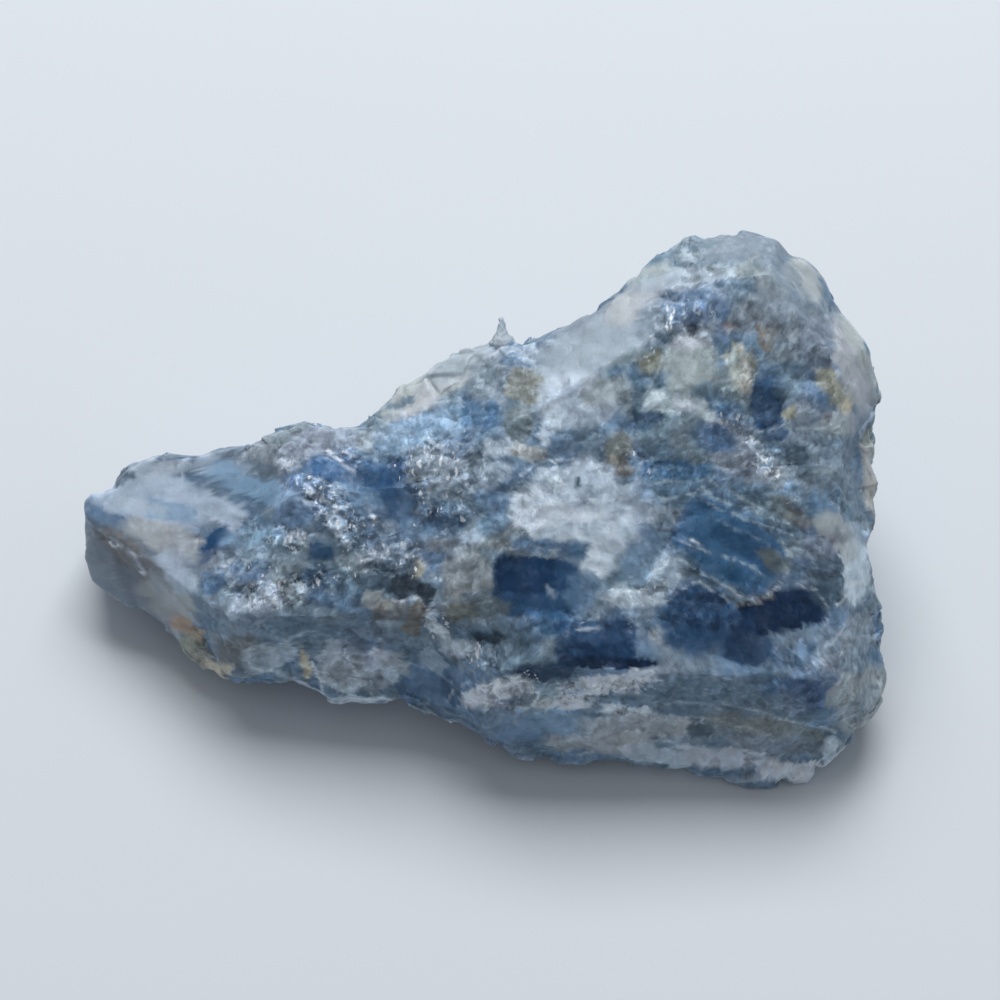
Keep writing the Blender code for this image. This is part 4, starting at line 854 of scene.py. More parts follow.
def cleavage_sets():
    """Sets of three slanted directions, each turned its own way: those that calcite cleaves across."""
    random = np.random.default_rng(SEED + 40)
    turns = [k * math.tau / 3.0 for k in range(3)]
    lean = unit(np.array([(math.cos(turn), math.sin(turn), CLEAVAGE_LEAN) for turn in turns]))
    turned, _ = np.linalg.qr(random.normal(size=(CLEAVAGE_SETS, 3, 3)))
    return np.einsum("ki,nij->nkj", lean, turned).astype(np.float32)


def corners(points, size, salt):
    """Cleaved corners: each point's fall below its corner, the corner's numbers, distance to the border, offset.

    Every cube of space holds one scattered seed with its own three cleavage directions. The distance to a seed is
    the longest of the three distances along them, so its level surfaces are rhombs, and a point belongs to the
    nearest seed. The fall is continuous, and each corner has flat sides.
    """
    block = np.random.default_rng(SEED + salt).uniform(size=(CORNER_BLOCK ** 3, 4)).astype(np.float32)
    directions = cleavage_sets()[(block[:, 3] * CLEAVAGE_SETS).astype(int)]
    flat = (points / size).astype(np.float32)
    home = np.floor(flat).astype(np.int32)
    inner = flat - home
    best = np.full(len(flat), np.inf, dtype=np.float32)
    second = best.copy()
    chosen = np.zeros(len(flat), dtype=np.int32)
    offset = np.zeros_like(inner)
    for step in np.ndindex(3, 3, 3):
        shift = np.array(step, dtype=np.int32) - 1
        cell = np.mod(home + shift, CORNER_BLOCK)
        index = (cell[:, 0] * CORNER_BLOCK + cell[:, 1]) * CORNER_BLOCK + cell[:, 2]
        away = inner - shift - block[index, :3]
        distance = np.abs(np.einsum("ijk,ik->ij", directions[index], away)).max(axis=1)
        nearer = distance < best
        second = np.where(nearer, best, np.minimum(second, distance))
        best = np.where(nearer, distance, best)
        chosen[nearer] = index[nearer]
        offset[nearer] = away[nearer]
    return best * size, block[chosen], (second - best) * size, offset * size


def corner_relief(points, size, salt):
    """Cleaved corners as a height in mm about a middle level, with sides that fall one in one."""
    return CORNER_MIDDLE * size - corners(points, size, salt)[0]


def seen_place(points):
    """Where each point shows on the broad face, across and up, from the distance that it is looked at."""
    return points[:, :2] * (VIEW_REACH / (VIEW_REACH - points[:, 2]))[:, None]


def mark(places, shape, softness, power):
    """The points within a turned oval or block, and for each of them one inside, with a soft edge.

    The shape is its middle, across and up, its half length and half width, and its turn in degrees.
    """
    across, up, half_length, half_width, turn = shape
    reach = MARK_ROOM * (1.0 + softness) * math.hypot(half_length, half_width)
    near = np.flatnonzero(np.abs(places - (across, up)).max(axis=1) < reach)
    along, beside = turned_parts(places[near] - (across, up), turn, (half_length, half_width))
    distance = (np.abs(along) ** power + np.abs(beside) ** power) ** (1.0 / power)
    return near, soft_step((1.0 - distance) / softness + 0.5)


def turned_parts(offset, turn, sizes):
    """How far offsets go along a direction turned by so many degrees, and beside it, in the given sizes."""
    angle = math.radians(turn)
    across, up = offset.T
    along = (across * math.cos(angle) + up * math.sin(angle)) / sizes[0]
    beside = (up * math.cos(angle) - across * math.sin(angle)) / sizes[1]
    return along, beside


def stroke(places, half_width, line):
    """The points close to a line of straight parts, and how strongly each is on it: a bell across the line."""
    line = np.array(line).reshape(-1, 2)
    room = LINE_ROOM * half_width
    near = np.flatnonzero(np.all((places > line.min(axis=0) - room) & (places < line.max(axis=0) + room), axis=1))
    distance = np.full(len(near), np.inf)
    for start, end in zip(line[:-1], line[1:]):
        along = np.clip((places[near] - start) @ (end - start) / np.sum((end - start) ** 2), 0.0, 1.0)
        to_line = places[near] - start - along[:, None] * (end - start)
        distance = np.minimum(distance, np.linalg.norm(to_line, axis=1))
    return near, np.exp(-(distance / half_width) ** 2)


def ripples(points):
    """Crinkles that run one way in each rough place: noise stretched along the run, above and below nought."""
    places = seen_place(points)
    height = np.zeros(len(points))
    for number, (*shape, percent) in enumerate(HACKLY):
        near, mask = mark(places, shape, *ROUGH_EDGE)
        along, beside = turned_parts(places[near] - shape[:2], shape[-1] + RIPPLE_TURN, RIPPLE_SIZE)
        stretched = np.stack((along, beside, RIPPLE_DEPTH * points[near, 2]), axis=-1)
        height[near] += percent / 100.0 * mask * (wave_noise(stretched, 1.0, RIPPLE_SEED + number) - height[near])
    return height


def broad_face_share(points):
    """One on the broad face's side of the rim, fading to nothing a little way behind it."""
    return soft_step(above_rim(points) / BEHIND_FADE + 1.0)


def roughness_field(points):
    """How rough the break is at each point: the rough places, less the smooth ones, and uneven behind."""
    amount, length, seeds = ROUGH_DRIFT
    places = seen_place(points) + amount * side_by_side(points, length, seeds)
    rough = np.full(len(points), BASE_ROUGHNESS)
    for *shape, percent in HACKLY:
        near, mask = mark(places, shape, *ROUGH_EDGE)
        rough[near] = np.maximum(rough[near], percent / 100.0 * mask)
    for *shape, percent in SMOOTH:
        near, mask = mark(places, shape, *SMOOTH_EDGE)
        rough[near] *= 1.0 - percent / 100.0 * mask
    level, amount, length, seed = BEHIND_ROUGHNESS
    behind = np.clip(level + amount * wave_noise(points, length, seed), BEHIND_SMOOTHEST, 1.0)
    share = broad_face_share(points)
    return rough * share + behind * (1.0 - share)


def by_roughness(pair, rough):
    """The first of two numbers where the break is smooth, and more by up to the second where it is rough."""
    least, more = pair
    return least + more * rough


def thin_steps(points, normals, outward, offset, thin):
    """How far each point is, along its normal, from the nearest of a stack of thin and uneven steps."""
    depth = np.sum(outward * offset, axis=1)
    to_step = thin * np.round(depth / thin + wave_sum(points, THIN_STEP_WAVES)) - depth
    height = to_step / np.maximum(np.sum(outward * normals, axis=1), LEAST_FACING)
    return np.clip(height, -THIN_STEP_LIMIT, THIN_STEP_LIMIT)


def relief(points, normals, grains, rough):
    """How far the break stands out of the form, in mm.

    The flats of each grain follow its cleavage, with steps between them. A point is moved along the normal to one
    of its grain's parallel cleavage planes. Which one is read from the form at the middle of the block that the
    point is in; the blocks are a slanted grid in the cleavage plane. Thinner steps on a slightly turned plane,
    cleaved corners of three sizes, the finest unevenness and the crinkles are added to them.
    """
    centres, _, outwards, steps = grains
    owner = nearest_grain(points, grains)
    axes = block_axes(len(centres))[owner]
    outward = outwards[owner]
    step = steps[owner]
    facing = np.maximum(np.sum(outward * normals, axis=1), LEAST_FACING)
    first = unit(np.cross(outward, axes))
    second = unit(np.cross(outward, first) + BLOCK_SLANT * first)
    offset = points - centres[owner]
    to_middle = block_shift(offset, first, BLOCK_SIZE[0] * step) + block_shift(offset, second, BLOCK_SIZE[1] * step)
    depth = np.sum(outward * offset, axis=1)
    depth_at_middle = depth - np.sum(to_middle * normals, axis=1) / facing
    level = step * np.round(depth_at_middle / step)
    stepped = np.clip((level - depth) / facing, -STEP_LIMIT, STEP_LIMIT)
    on_rim, elsewhere = STEP_SHARES
    height = stepped * (on_rim + (elsewhere - on_rim) * np.clip(rim_distance(points) / RIM_BAND, 0.0, 1.0))
    least, more = THIN_STEP
    thin = (least + more * np.random.default_rng(SEED + 3).uniform(size=len(centres)))[owner]
    turned = unit(outward + THIN_STEP_LEAN * axes)
    height += thin_steps(points, normals, turned, offset, thin) * THIN_STEP_SHARE * rough
    for size, slope, salt in zip(CORNER_SIZES, CORNER_SLOPES, CORNER_SALTS):
        height += by_roughness(slope, rough) * corner_relief(points, size, salt)
    height += wave_sum(points, FINE_WAVES)
    return height + RIPPLE_HEIGHT * ripples(points) * broad_face_share(points)


def fine_halves():
    """Both halves of the finished surface in the frame of the face, and the grains."""
    halves = []
    for side in (1.0, -1.0):
        points = cut_facets(drop_arm(swollen_rim(directions_of_half(side, COARSE_GRID))))
        normals = outward_normals(points)
        halves.append((push_hollows(points, normals), normals))
    every_point = np.concatenate([points for points, _ in halves])
    every_normal = np.concatenate([normals for _, normals in halves])
    grains = place_grains(every_point, every_normal, halves[0][0])
    finished = []
    for (points, normals), size in zip(halves, (FACE_GRID, FACE_GRID // 2 + 1)):
        points = make_bigger(points, size)
        normals = unit(make_bigger(normals, size))
        flat_points, flat_normals = points.reshape(-1, 3), normals.reshape(-1, 3)
        rough = roughness_field(flat_points)
        height = relief(flat_points, flat_normals, grains, rough).reshape(size, size, 1)
        crisp = soft_step(CRISPNESS * rough).reshape(size, size)
        height = blend(smooth(height, SOFTENING), height, crisp)
        finished.append(flatten_foot(points + normals * height))
    return finished, grains


def join_halves(front, back):
    """Number the points of both grids and lay two triangles in every cell.

    The border is the front grid's. The back grid is half as fine, so a front point lies between each two of its
    border points, and the triangle there is split at it.
    """
    size = front.shape[0]
    front_index = np.arange(size * size).reshape(size, size)
    back_index = front_index[::2, ::2].copy()
    inside = np.zeros(back_index.shape, dtype=bool)
    inside[1:-1, 1:-1] = True
    back_index[inside] = size * size + np.arange(inside.sum())
    points = np.concatenate((front.reshape(-1, 3), back[inside]))
    hidden = cell_triangles(back_index)
    for line in (front_index[0], front_index[-1], front_index[:, 0], front_index[:, -1]):
        hidden = split_edges(hidden, line[:-2:2], line[1::2], line[2::2])
    return points, np.concatenate((cell_triangles(front_index), hidden[:, ::-1]))


def split_edges(triangles, starts, middles, ends):
    """Split every triangle that has one of the given edges, start to end either way round, at its middle."""
    between = dict(zip(zip(starts.tolist(), ends.tolist()), middles.tolist()))
    between.update(zip(zip(ends.tolist(), starts.tolist()), middles.tolist()))
    for turn in range(3):
        a, b, c = (triangles[:, (turn + k) % 3] for k in range(3))
        edges = list(zip(a.tolist(), b.tolist()))
        found = [row for row, edge in enumerate(edges) if edge in between]
        middle = np.array([between[edges[row]] for row in found], dtype=int)
        added = np.stack((middle, b[found], c[found]), axis=-1)
        triangles = triangles.copy()
        triangles[found] = np.stack((a[found], middle, c[found]), axis=-1)
        triangles = np.concatenate((triangles, added))
    return triangles


def cell_triangles(index):
    """Two triangles in every cell, with the diagonal running outwards from the middle of the grid."""
    a, b = index[:-1, :-1], index[1:, :-1]
    c, d = index[1:, 1:], index[:-1, 1:]
    line = np.arange(index.shape[0] - 1) - (index.shape[0] - 2) / 2.0
    outward_is_ac = (line[:, None] * line[None, :]) > 0.0
    first = np.where(outward_is_ac[..., None], np.stack((a, b, c), -1), np.stack((a, b, d), -1))
    second = np.where(outward_is_ac[..., None], np.stack((a, c, d), -1), np.stack((b, c, d), -1))
    return np.concatenate((first.reshape(-1, 3), second.reshape(-1, 3)))


def mesh_from_arrays(name, points, triangles):
    """Put arrays of points in metres and of triangles into a new mesh."""
    mesh = bpy.data.meshes.new(name)
    mesh.vertices.add(len(points))
    mesh.vertices.foreach_set("co", points.astype(np.float32).ravel())
    mesh.loops.add(len(triangles) * 3)
    mesh.loops.foreach_set("vertex_index", triangles.astype(np.int32).ravel())
    mesh.polygons.add(len(triangles))
    mesh.polygons.foreach_set("loop_start", np.arange(0, len(triangles) * 3, 3, dtype=np.int32))
    mesh.update(calc_edges=True)
    mesh.validate()
    return mesh


def thinned(fine_mesh, front_count):
    """Take triangles away where the surface is flattest, first from the hidden side and then from the face."""
    stone = bpy.data.objects.new(fine_mesh.name, fine_mesh)
    bpy.context.scene.collection.objects.link(stone)
    count = len(fine_mesh.vertices)
    face_triangles = 2 * (FACE_GRID - 1) ** 2
    before = len(fine_mesh.polygons)
    for group, members, after in (("hidden_side", range(front_count, count), face_triangles + BACK_TRIANGLES),
                                  ("face_side", range(front_count), FACE_TRIANGLES + BACK_TRIANGLES)):
        stone.vertex_groups.new(name=group).add(list(members), 1.0, "REPLACE")
        thin = stone.modifiers.new(group, "DECIMATE")
        thin.vertex_group = group
        thin.ratio = after / before
        before = after
    graph = bpy.context.evaluated_depsgraph_get()
    mesh = bpy.data.meshes.new_from_object(stone.evaluated_get(graph))
    stone.modifiers.clear()
    stone.vertex_groups.clear()
    stone.data = mesh
    mesh.name = fine_mesh.name
    bpy.data.meshes.remove(fine_mesh)
    return stone


def vectors_of(mesh, kind):
    """A mesh's places or smooth outward directions as an array: kind is co or normal."""
    values = np.empty(len(mesh.vertices) * 3, dtype=np.float32)
    mesh.vertices.foreach_get(kind, values)
    return values.reshape(-1, 3).astype(float)


def edge_bulge(mesh, places, directions):
    """How far each point stands out of its neighbours: above nought on edges, below in creases."""
    pairs = np.empty(len(mesh.edges) * 2, dtype=np.int32)
    mesh.edges.foreach_get("vertices", pairs)
    pairs = pairs.reshape(-1, 2)
    total = np.zeros_like(places)
    count = np.zeros(len(places))
    for here, there in ((pairs[:, 0], pairs[:, 1]), (pairs[:, 1], pairs[:, 0])):
        np.add.at(total, here, places[there] - places[here])
        np.add.at(count, here, 1.0)
    return -np.sum(total / np.maximum(count, 1.0)[:, None] * directions, axis=1)


def blend(under, over, share):
    """Lay one set of values over another by a share."""
    return under + (over - under) * share[..., None]


def vein_mask(points, length, width, seed):
    """Thin curved lines where a smooth field passes through nought, with gaps where a second one is low.

    The width is how far from nought the field may be.
    """
    field = wave_noise(points, length, seed)
    open_share, slope, stretch = VEIN_GAPS
    here = soft_step(open_share + slope * wave_noise(points, stretch * length, seed + 1))
    return here * np.exp(-np.abs(field) / width)


def face_colours(points, rough, to_corners, palette):
    """The broad face's colours: its marks, the painted highlights and shade of the crinkles, and its lines, laid one
    over the other.

    Under them is an uneven blue-grey. The outline of a mark wanders by a field and keeps in part to whole corners,
    which breaks up its edge.
    """
    colour = np.broadcast_to(palette["slate"], (len(points), 3)).copy()
    for name, level, slope, most, length, seed in GROUND_DRIFTS:
        share = np.clip(level + slope * wave_noise(points, length, seed), 0.0, most)
        colour = blend(colour, palette[name], share)
    places = seen_place(points)
    drift = sum(amount * side_by_side(points, length, seeds) for amount, length, seeds in EDGE_DRIFT)
    held = CELL_HOLD * to_corners[:, :2]
    for name, across, up, half_length, half_width, turn, percent, *crisp in ZONES:
        softness, wander, keep, power = CRISP_MARK if crisp else SOFT_MARK
        shape = (across, up, half_length, half_width, turn)
        near, mask = mark(places + wander * drift - keep * held, shape, softness, power)
        colour[near] = blend(colour[near], palette[name], percent / 100.0 * mask)
    crinkle = ripples(points)
    # painted highlight on the crinkles' tops, and painted shade at their feet
    lit = np.clip(CRINKLE_LIGHT[0] * crinkle - CRINKLE_LIGHT[1], 0.0, 1.0)
    colour = blend(colour, palette["frost"], by_roughness(CRINKLE_HIGHLIGHT, rough) * lit)
    colour = colour * (1.0 - CRINKLE_SHADE * np.clip(-crinkle, 0.0, 1.0))[:, None]
    level, slope, length, seed = LINE_BREAKS
    for name, half_width, percent, *line in STROKES:
        near, mask = stroke(places + LINE_WANDER * drift, half_width / 100.0, line)
        broken = level + slope * wave_noise(points[near], length, seed)
        colour[near] = blend(colour[near], palette[name], np.clip(percent / 100.0 * broken, 0.0, 1.0) * mask)
    return colour


def behind_colours(points, to_corners, palette):
    """The colours behind the rim: the same kinds as on the broad face, which drift by slow fields."""
    held = points - BEHIND_HOLD * to_corners
    colour = np.broadcast_to(palette["mid"], (len(points), 3))
    for name, strength, size, level, slope, seed in BEHIND_DRIFTS:
        colour = blend(colour, palette[name], strength * soft_step(level + slope * wave_noise(held, size, seed)))
    return colour


def paint(points, bulge, rough, grains, colours):
    """The stone's colour at each point.

    Each grain is a shade lighter or darker. Each cleaved corner is too, and has a lighter and a darker side: painted
    light and shade that sets its facets apart. Thin veins and the borders of grains are frosted; the borders of
    corners and the outer edges of steps take a painted highlight in the frost colour, and creases a painted shade.
    """
    palette = {name: BRIGHTNESS * np.array(getattr(colours, name)[:3]) for name in PALETTE}
    _, numbers, corner_border, offset = corners(points, CORNER_SIZES[1], CORNER_SALTS[1])
    _, small_numbers, _, small_offset = corners(points, CORNER_SIZES[2], CORNER_SALTS[2])
    to_corners = offset + small_offset
    on_face = face_colours(points, rough, to_corners, palette)
    colour = blend(behind_colours(points, to_corners, palette), on_face, broad_face_share(points))
    owner, border = grain_and_border(points, grains)
    shade = np.random.default_rng(SEED + 21).normal(size=(len(grains[0]), 3))[owner]
    colour = colour * np.exp(GRAIN_SHADES[0] * shade[:, :1] + GRAIN_SHADES[1] * shade)
    # Painted light and shade of the corners: each a random shade lighter or darker, lighter on one side and darker on
    # the other.
    side = ((numbers[:, :3] - 0.5) * offset).sum(axis=1) / CORNER_SIZES[1]
    side += ((small_numbers[:, :3] - 0.5) * small_offset).sum(axis=1) / CORNER_SIZES[2]
    for pair, lighter in ((CORNER_SHADES, numbers[:, 0] - 0.5), (SMALL_CORNER_SHADES, small_numbers[:, 0] - 0.5),
                          (SIDE_SHADES, side)):
        colour = colour * np.exp(by_roughness(pair, rough) * lighter)[:, None]
    frost = by_roughness(VEIN_FROST, rough) * vein_mask(points, *VEINS)
    along_grains = GRAIN_FROST * np.exp(-border / GRAIN_FROST_REACH)
    # frost along grain borders; a painted highlight in the frost colour along corner borders and on outward edges
    frost += along_grains + CORNER_HIGHLIGHT * rough * np.exp(-corner_border / CORNER_HIGHLIGHT_REACH)
    frost += np.clip(bulge / FULL_BULGE, 0.0, 1.0) * EDGE_HIGHLIGHT
    frost *= np.clip(colour.mean(axis=1) / FROSTED_FROM, LEAST_FROSTED, 1.0)
    colour = blend(colour, palette["frost"], np.clip(frost, 0.0, MOST_FROST))
    colour = colour * (1.0 - CREASE_SHADE * np.clip(-bulge / FULL_BULGE, 0.0, 1.0))[:, None]
    return np.clip(colour, 0.0, WHITEST)


def grain_and_border(points, grains):
    """Each point's grain, and how far it is from the border with the next one in mm."""
    centres = grains[0]
    owner = np.empty(len(points), dtype=int)
    border = np.empty(len(points))
    for batch, squared in grain_distances(points, grains):
        nearest = np.argpartition(squared, 1, axis=1)[:, :2]
        values = np.take_along_axis(squared, nearest, axis=1)
        gap = np.linalg.norm(centres[nearest[:, 0]] - centres[nearest[:, 1]], axis=1)
        owner[batch] = nearest[:, 0]
        border[batch] = (values[:, 1] - values[:, 0]) / (2.0 * gap)
    return owner, border


# Colours, each with what it is used for.
PALETTE = {
    # frost is also the colour of the painted highlights on the crinkles, the borders of corners and outward edges
    "frost": ((178, 190, 200), "frosted places and the borders between grains"),
    # white is also the colour of the painted glints: the flecks and the small white strokes
    "white": ((232, 238, 244), "the whitest veins"),
    "pale": ((150, 165, 180), "clear pale calcite"),
    "lilac": ((154, 166, 178), "pale calcite with a cast of violet"),
    "sky": ((112, 140, 164), "light blue blocks"),
    "mid": ((80, 106, 132), "the general blue"),
    "blue": ((48, 84, 118), "strong blue blocks"),
    "deep": ((26, 58, 90), "deep blue"),
    "teal": ((28, 66, 98), "deep blue with a cast of green"),
    "navy": ((9, 40, 70), "the darkest clear blocks"),
    "night": ((3, 26, 54), "the hearts of the darkest blocks"),
    "haze": ((126, 138, 147), "pale calcite in full light"),
    "smoke": ((104, 115, 126), "grey calcite in full light"),
    "ash": ((118, 127, 134), "grey calcite"),
    "dove": ((146, 152, 155), "light grey calcite"),
    "slate": ((78, 98, 114), "blue-grey calcite"),
    "gloom": ((52, 70, 84), "shaded grey"),
    # painted shade: the darkest crevices are painted in this colour
    "pit_shade": ((9, 22, 34), "the darkest crevices"),
    "moss": ((92, 100, 98), "green-grey stain"),
    "olive": ((110, 108, 88), "brown-green stain"),
    "straw": ((146, 144, 118), "light yellow-brown stain"),
    "honey": ((176, 168, 142), "honey-coloured grains"),
    "rust": ((165, 140, 118), "rust stain"),
    "umber": ((94, 88, 78), "brown stain"),
    "sand": ((160, 160, 152), "pale sandy grains"),
}

# The studio.
FLOOR_COLOUR = (209, 215, 221)
FLOOR_SIZE = 8.0  # m
SKY_COLOUR = (241, 245, 251)
WINDOW_PLACE = (0.03, 0.60, 0.84)  # m
WINDOW_SIDES = (0.72, 0.60)
FRAME_WIDTH = 1000.0 / 8.35 * MM  # 1000 points across, 8.35 to the millimetre at the broad face


def light_values(screen_colour):
    """A colour given as 0 to 255 on a screen, as amounts of light: the standard screen curve taken off."""
    part = np.array(screen_colour) / 255.0
    return tuple(float(v) for v in np.where(part <= 0.04045, part / 12.92, ((part + 0.055) / 1.055) ** 2.4))


def colour_choice(name):
    """A colour property for one entry of the palette."""
    screen_colour, use = PALETTE[name]
    return bpy.props.FloatVectorProperty(
        name=name.capitalize(), description="Colour of " + use, subtype="COLOR", size=3, min=0.0, max=1.0,
        default=light_values(screen_colour))


class CalciteColours(bpy.types.PropertyGroup):
    """The colours that the stone is made of: one property for each entry of the palette."""

    __annotations__ = {name: colour_choice(name) for name in PALETTE}


class CalciteStudio(bpy.types.PropertyGroup):
    """The floor, the lights and the camera."""

    floor_colour: bpy.props.FloatVectorProperty(
        name="Floor colour", description="Colour of the floor", subtype="COLOR", size=3, min=0.0, max=1.0,
        default=light_values(FLOOR_COLOUR))
    sky_strength: bpy.props.FloatProperty(
        name="Sky strength", description="Strength of the even light from all round", default=0.33, min=0.0)
    window_power: bpy.props.FloatProperty(
        name="Window light", description="Power of the large light behind the stone", default=10.9, min=0.0,
        unit="POWER")
    frame_width: bpy.props.FloatProperty(
        name="Frame width", description="Width of the view at the broad face", default=FRAME_WIDTH,
        min=0.01, subtype="DISTANCE", unit="LENGTH")


def node(tree, kind, **settings):
    """Add a node and set its properties; a setting named after an input sets that input's value."""
    made = tree.nodes.new(kind)
    for name, value in settings.items():
        if name.startswith("in_"):
            key = name[3:]
            made.inputs[int(key) if key.isdigit() else key.replace("_", " ")].default_value = value
        else:
            setattr(made, name, value)
    return made


def new_group(name, inputs, outputs):
    """A new shader node group with named inputs and outputs: its tree and its two ends."""
    tree = bpy.data.node_groups.new(name, "ShaderNodeTree")
    for socket_name, socket_type, default in inputs:
        socket = tree.interface.new_socket(socket_name, in_out="INPUT", socket_type=socket_type)
        if default is not None:
            socket.default_value = default
    for socket_name, socket_type in outputs:
        tree.interface.new_socket(socket_name, in_out="OUTPUT", socket_type=socket_type)
    return tree, tree.nodes.new("NodeGroupInput"), tree.nodes.new("NodeGroupOutput")


def worked_out(tree, operation, first, second):
    """A Math node on two sockets or numbers, and its result."""
    made = node(tree, "ShaderNodeMath", operation=operation)
    for socket, value in zip(made.inputs, (first, second)):
        if isinstance(value, bpy.types.NodeSocket):
            tree.links.new(value, socket)
        else:
            socket.default_value = value
    return made.outputs["Value"]


def graded(tree, value, start, end, low, high):
    """A value carried from one range to another, and held at its ends."""
    made = node(tree, "ShaderNodeMapRange", in_1=start, in_2=end, in_3=low, in_4=high)
    tree.links.new(value, made.inputs["Value"])
    return made.outputs["Result"]


def laths(tree, position, cells_per_metre, turn, stretch):
    """A cell pattern turned and drawn out along one direction, as cleaved grain is."""
    place = node(tree, "ShaderNodeMapping")
    place.inputs["Rotation"].default_value = turn
    place.inputs["Scale"].default_value = (1.0, 1.0 / stretch, 1.0)
    tree.links.new(position, place.inputs["Vector"])
    cells = node(tree, "ShaderNodeTexVoronoi", feature="F1", distance="CHEBYCHEV", in_Scale=cells_per_metre,
                 in_Randomness=0.95)
    tree.links.new(place.outputs["Vector"], cells.inputs["Vector"])
    return cells


def split_up(tree, colour):
    """A colour's three parts, which are random numbers where the colour is a cell's."""
    made = node(tree, "ShaderNodeSeparateColor")
    tree.links.new(colour, made.inputs["Color"])
    return made.outputs


def moved_by(tree, operation, first, second):
    """A Vector Math node on two sockets, and its result; SCALE takes its second as Scale."""
    made = node(tree, "ShaderNodeVectorMath", operation=operation)
    tree.links.new(first, made.inputs[0])
    tree.links.new(second, made.inputs["Scale" if operation == "SCALE" else 1])
    return made.outputs["Vector"]


def noise_of(tree, position, waves_per_metre, detail, roughness=0.5):
    """A noise texture at a position."""
    made = node(tree, "ShaderNodeTexNoise", in_Scale=waves_per_metre, in_Detail=detail, in_Roughness=roughness)
    tree.links.new(position, made.inputs["Vector"])
    return made.outputs


def wandering(tree, position, scale, amount):
    """The position moved a little by a noise, so that straight borders wander."""
    moved = node(tree, "ShaderNodeVectorMath", operation="MULTIPLY_ADD")
    moved.inputs[1].default_value = (amount, amount, amount)
    tree.links.new(noise_of(tree, position, scale, 2.0)["Color"], moved.inputs[0])
    tree.links.new(position, moved.inputs[2])
    return moved.outputs["Vector"]


def lath_shade(tree, cells, position, rough):
    """How light the laths are: one on average, and further from it where the break is rough."""
    noise = noise_of(tree, position, UNEVEN_SCALE, 3.0, 0.65)
    wide, narrow = (split_up(tree, one.outputs["Color"])["Red"] for one in cells)
    uneven = worked_out(tree, "ADD", worked_out(tree, "ADD", wide, narrow),
                        worked_out(tree, "MULTIPLY", noise["Fac"], UNEVEN_SHARE))
    contrast = graded(tree, rough, 0.0, 1.0, *LATH_CONTRAST)
    from_mean = worked_out(tree, "SUBTRACT", uneven, MEAN_SHADE)
    return worked_out(tree, "ADD", worked_out(tree, "MULTIPLY", from_mean, contrast), 1.0)


def glint_fleck_mask(tree, wandered, position, rough):
    """Where the painted glints are: white flecks in the hearts of a random share of small laths, in clusters where it
    is rough.
    """
    clusters = noise_of(tree, position, FLECK_CLUSTERS, 2.0)
    crowd = worked_out(tree, "MULTIPLY", graded(tree, rough, *FLECK_CROWD),
                       graded(tree, clusters["Fac"], *FLECK_GATHERING))
    masks = []
    for cells_per_metre, turn, stretch in GLINT_FLECKS:
        small = laths(tree, wandered, cells_per_metre, turn, stretch)
        numbers = split_up(tree, small.outputs["Color"])
        chosen = worked_out(tree, "LESS_THAN", numbers["Green"], crowd)
        spot = worked_out(tree, "MULTIPLY", graded(tree, small.outputs["Distance"], *FLECK_HEART), chosen)
        masks.append(worked_out(tree, "MULTIPLY", spot, graded(tree, numbers["Blue"], *FLECK_RANGE)))
    return worked_out(tree, "MAXIMUM", *masks)


def leaning_normal(tree, cells, rough):
    """The surface's direction with each lath's own lean added to it, which makes the laths glint."""
    lean = graded(tree, rough, 0.0, 1.0, *LATH_LEAN)
    direction = node(tree, "ShaderNodeNewGeometry").outputs["Normal"]
    for one in cells:
        centred = node(tree, "ShaderNodeVectorMath", operation="SUBTRACT")
        centred.inputs[1].default_value = (0.5, 0.5, 0.5)
        tree.links.new(one.outputs["Color"], centred.inputs[0])
        leaning = moved_by(tree, "SCALE", centred.outputs["Vector"], lean)
        direction = moved_by(tree, "ADD", direction, leaning)
    one_long = node(tree, "ShaderNodeVectorMath", operation="NORMALIZE")
    tree.links.new(direction, one_long.inputs[0])
    return one_long.outputs["Vector"]


def broken_grain_group():
    """Cleaved grain at two sizes: laths that differ in shade and lean, and white flecks painted as glints where the
    break is rough.
    """
    tree, start, end = new_group(
        "Broken grain",
        (("Colour", "NodeSocketColor", None), ("Glint colour", "NodeSocketColor", (0.7, 0.76, 0.82, 1.0)),
         ("Position", "NodeSocketVector", None), ("Rough", "NodeSocketFloat", 0.4)),
        (("Colour", "NodeSocketColor"), ("Fleck", "NodeSocketFloat"), ("Normal", "NodeSocketVector"),
         ("Cell", "NodeSocketFloat")))
    links = tree.links
    rough = start.outputs["Rough"]
    position = start.outputs["Position"]
    wandered = wandering(tree, position, *WANDER)
    cells = [laths(tree, wandered, *one) for one in LATHS]
    shade = lath_shade(tree, cells, position, rough)
    # painted glints: the colour turns to the glint colour in the white flecks
    fleck = glint_fleck_mask(tree, wandered, position, rough)
    glinted = node(tree, "ShaderNodeMix", data_type="RGBA")
    links.new(worked_out(tree, "MULTIPLY", fleck, GLINT_FLECK_STRENGTH), glinted.inputs["Factor"])
    links.new(moved_by(tree, "SCALE", start.outputs["Colour"], shade), glinted.inputs["A"])
    links.new(start.outputs["Glint colour"], glinted.inputs["B"])
    links.new(glinted.outputs["Result"], end.inputs["Colour"])
    links.new(fleck, end.inputs["Fleck"])
    links.new(leaning_normal(tree, cells, rough), end.inputs["Normal"])
    links.new(split_up(tree, cells[1].outputs["Color"])["Green"], end.inputs["Cell"])
    return tree


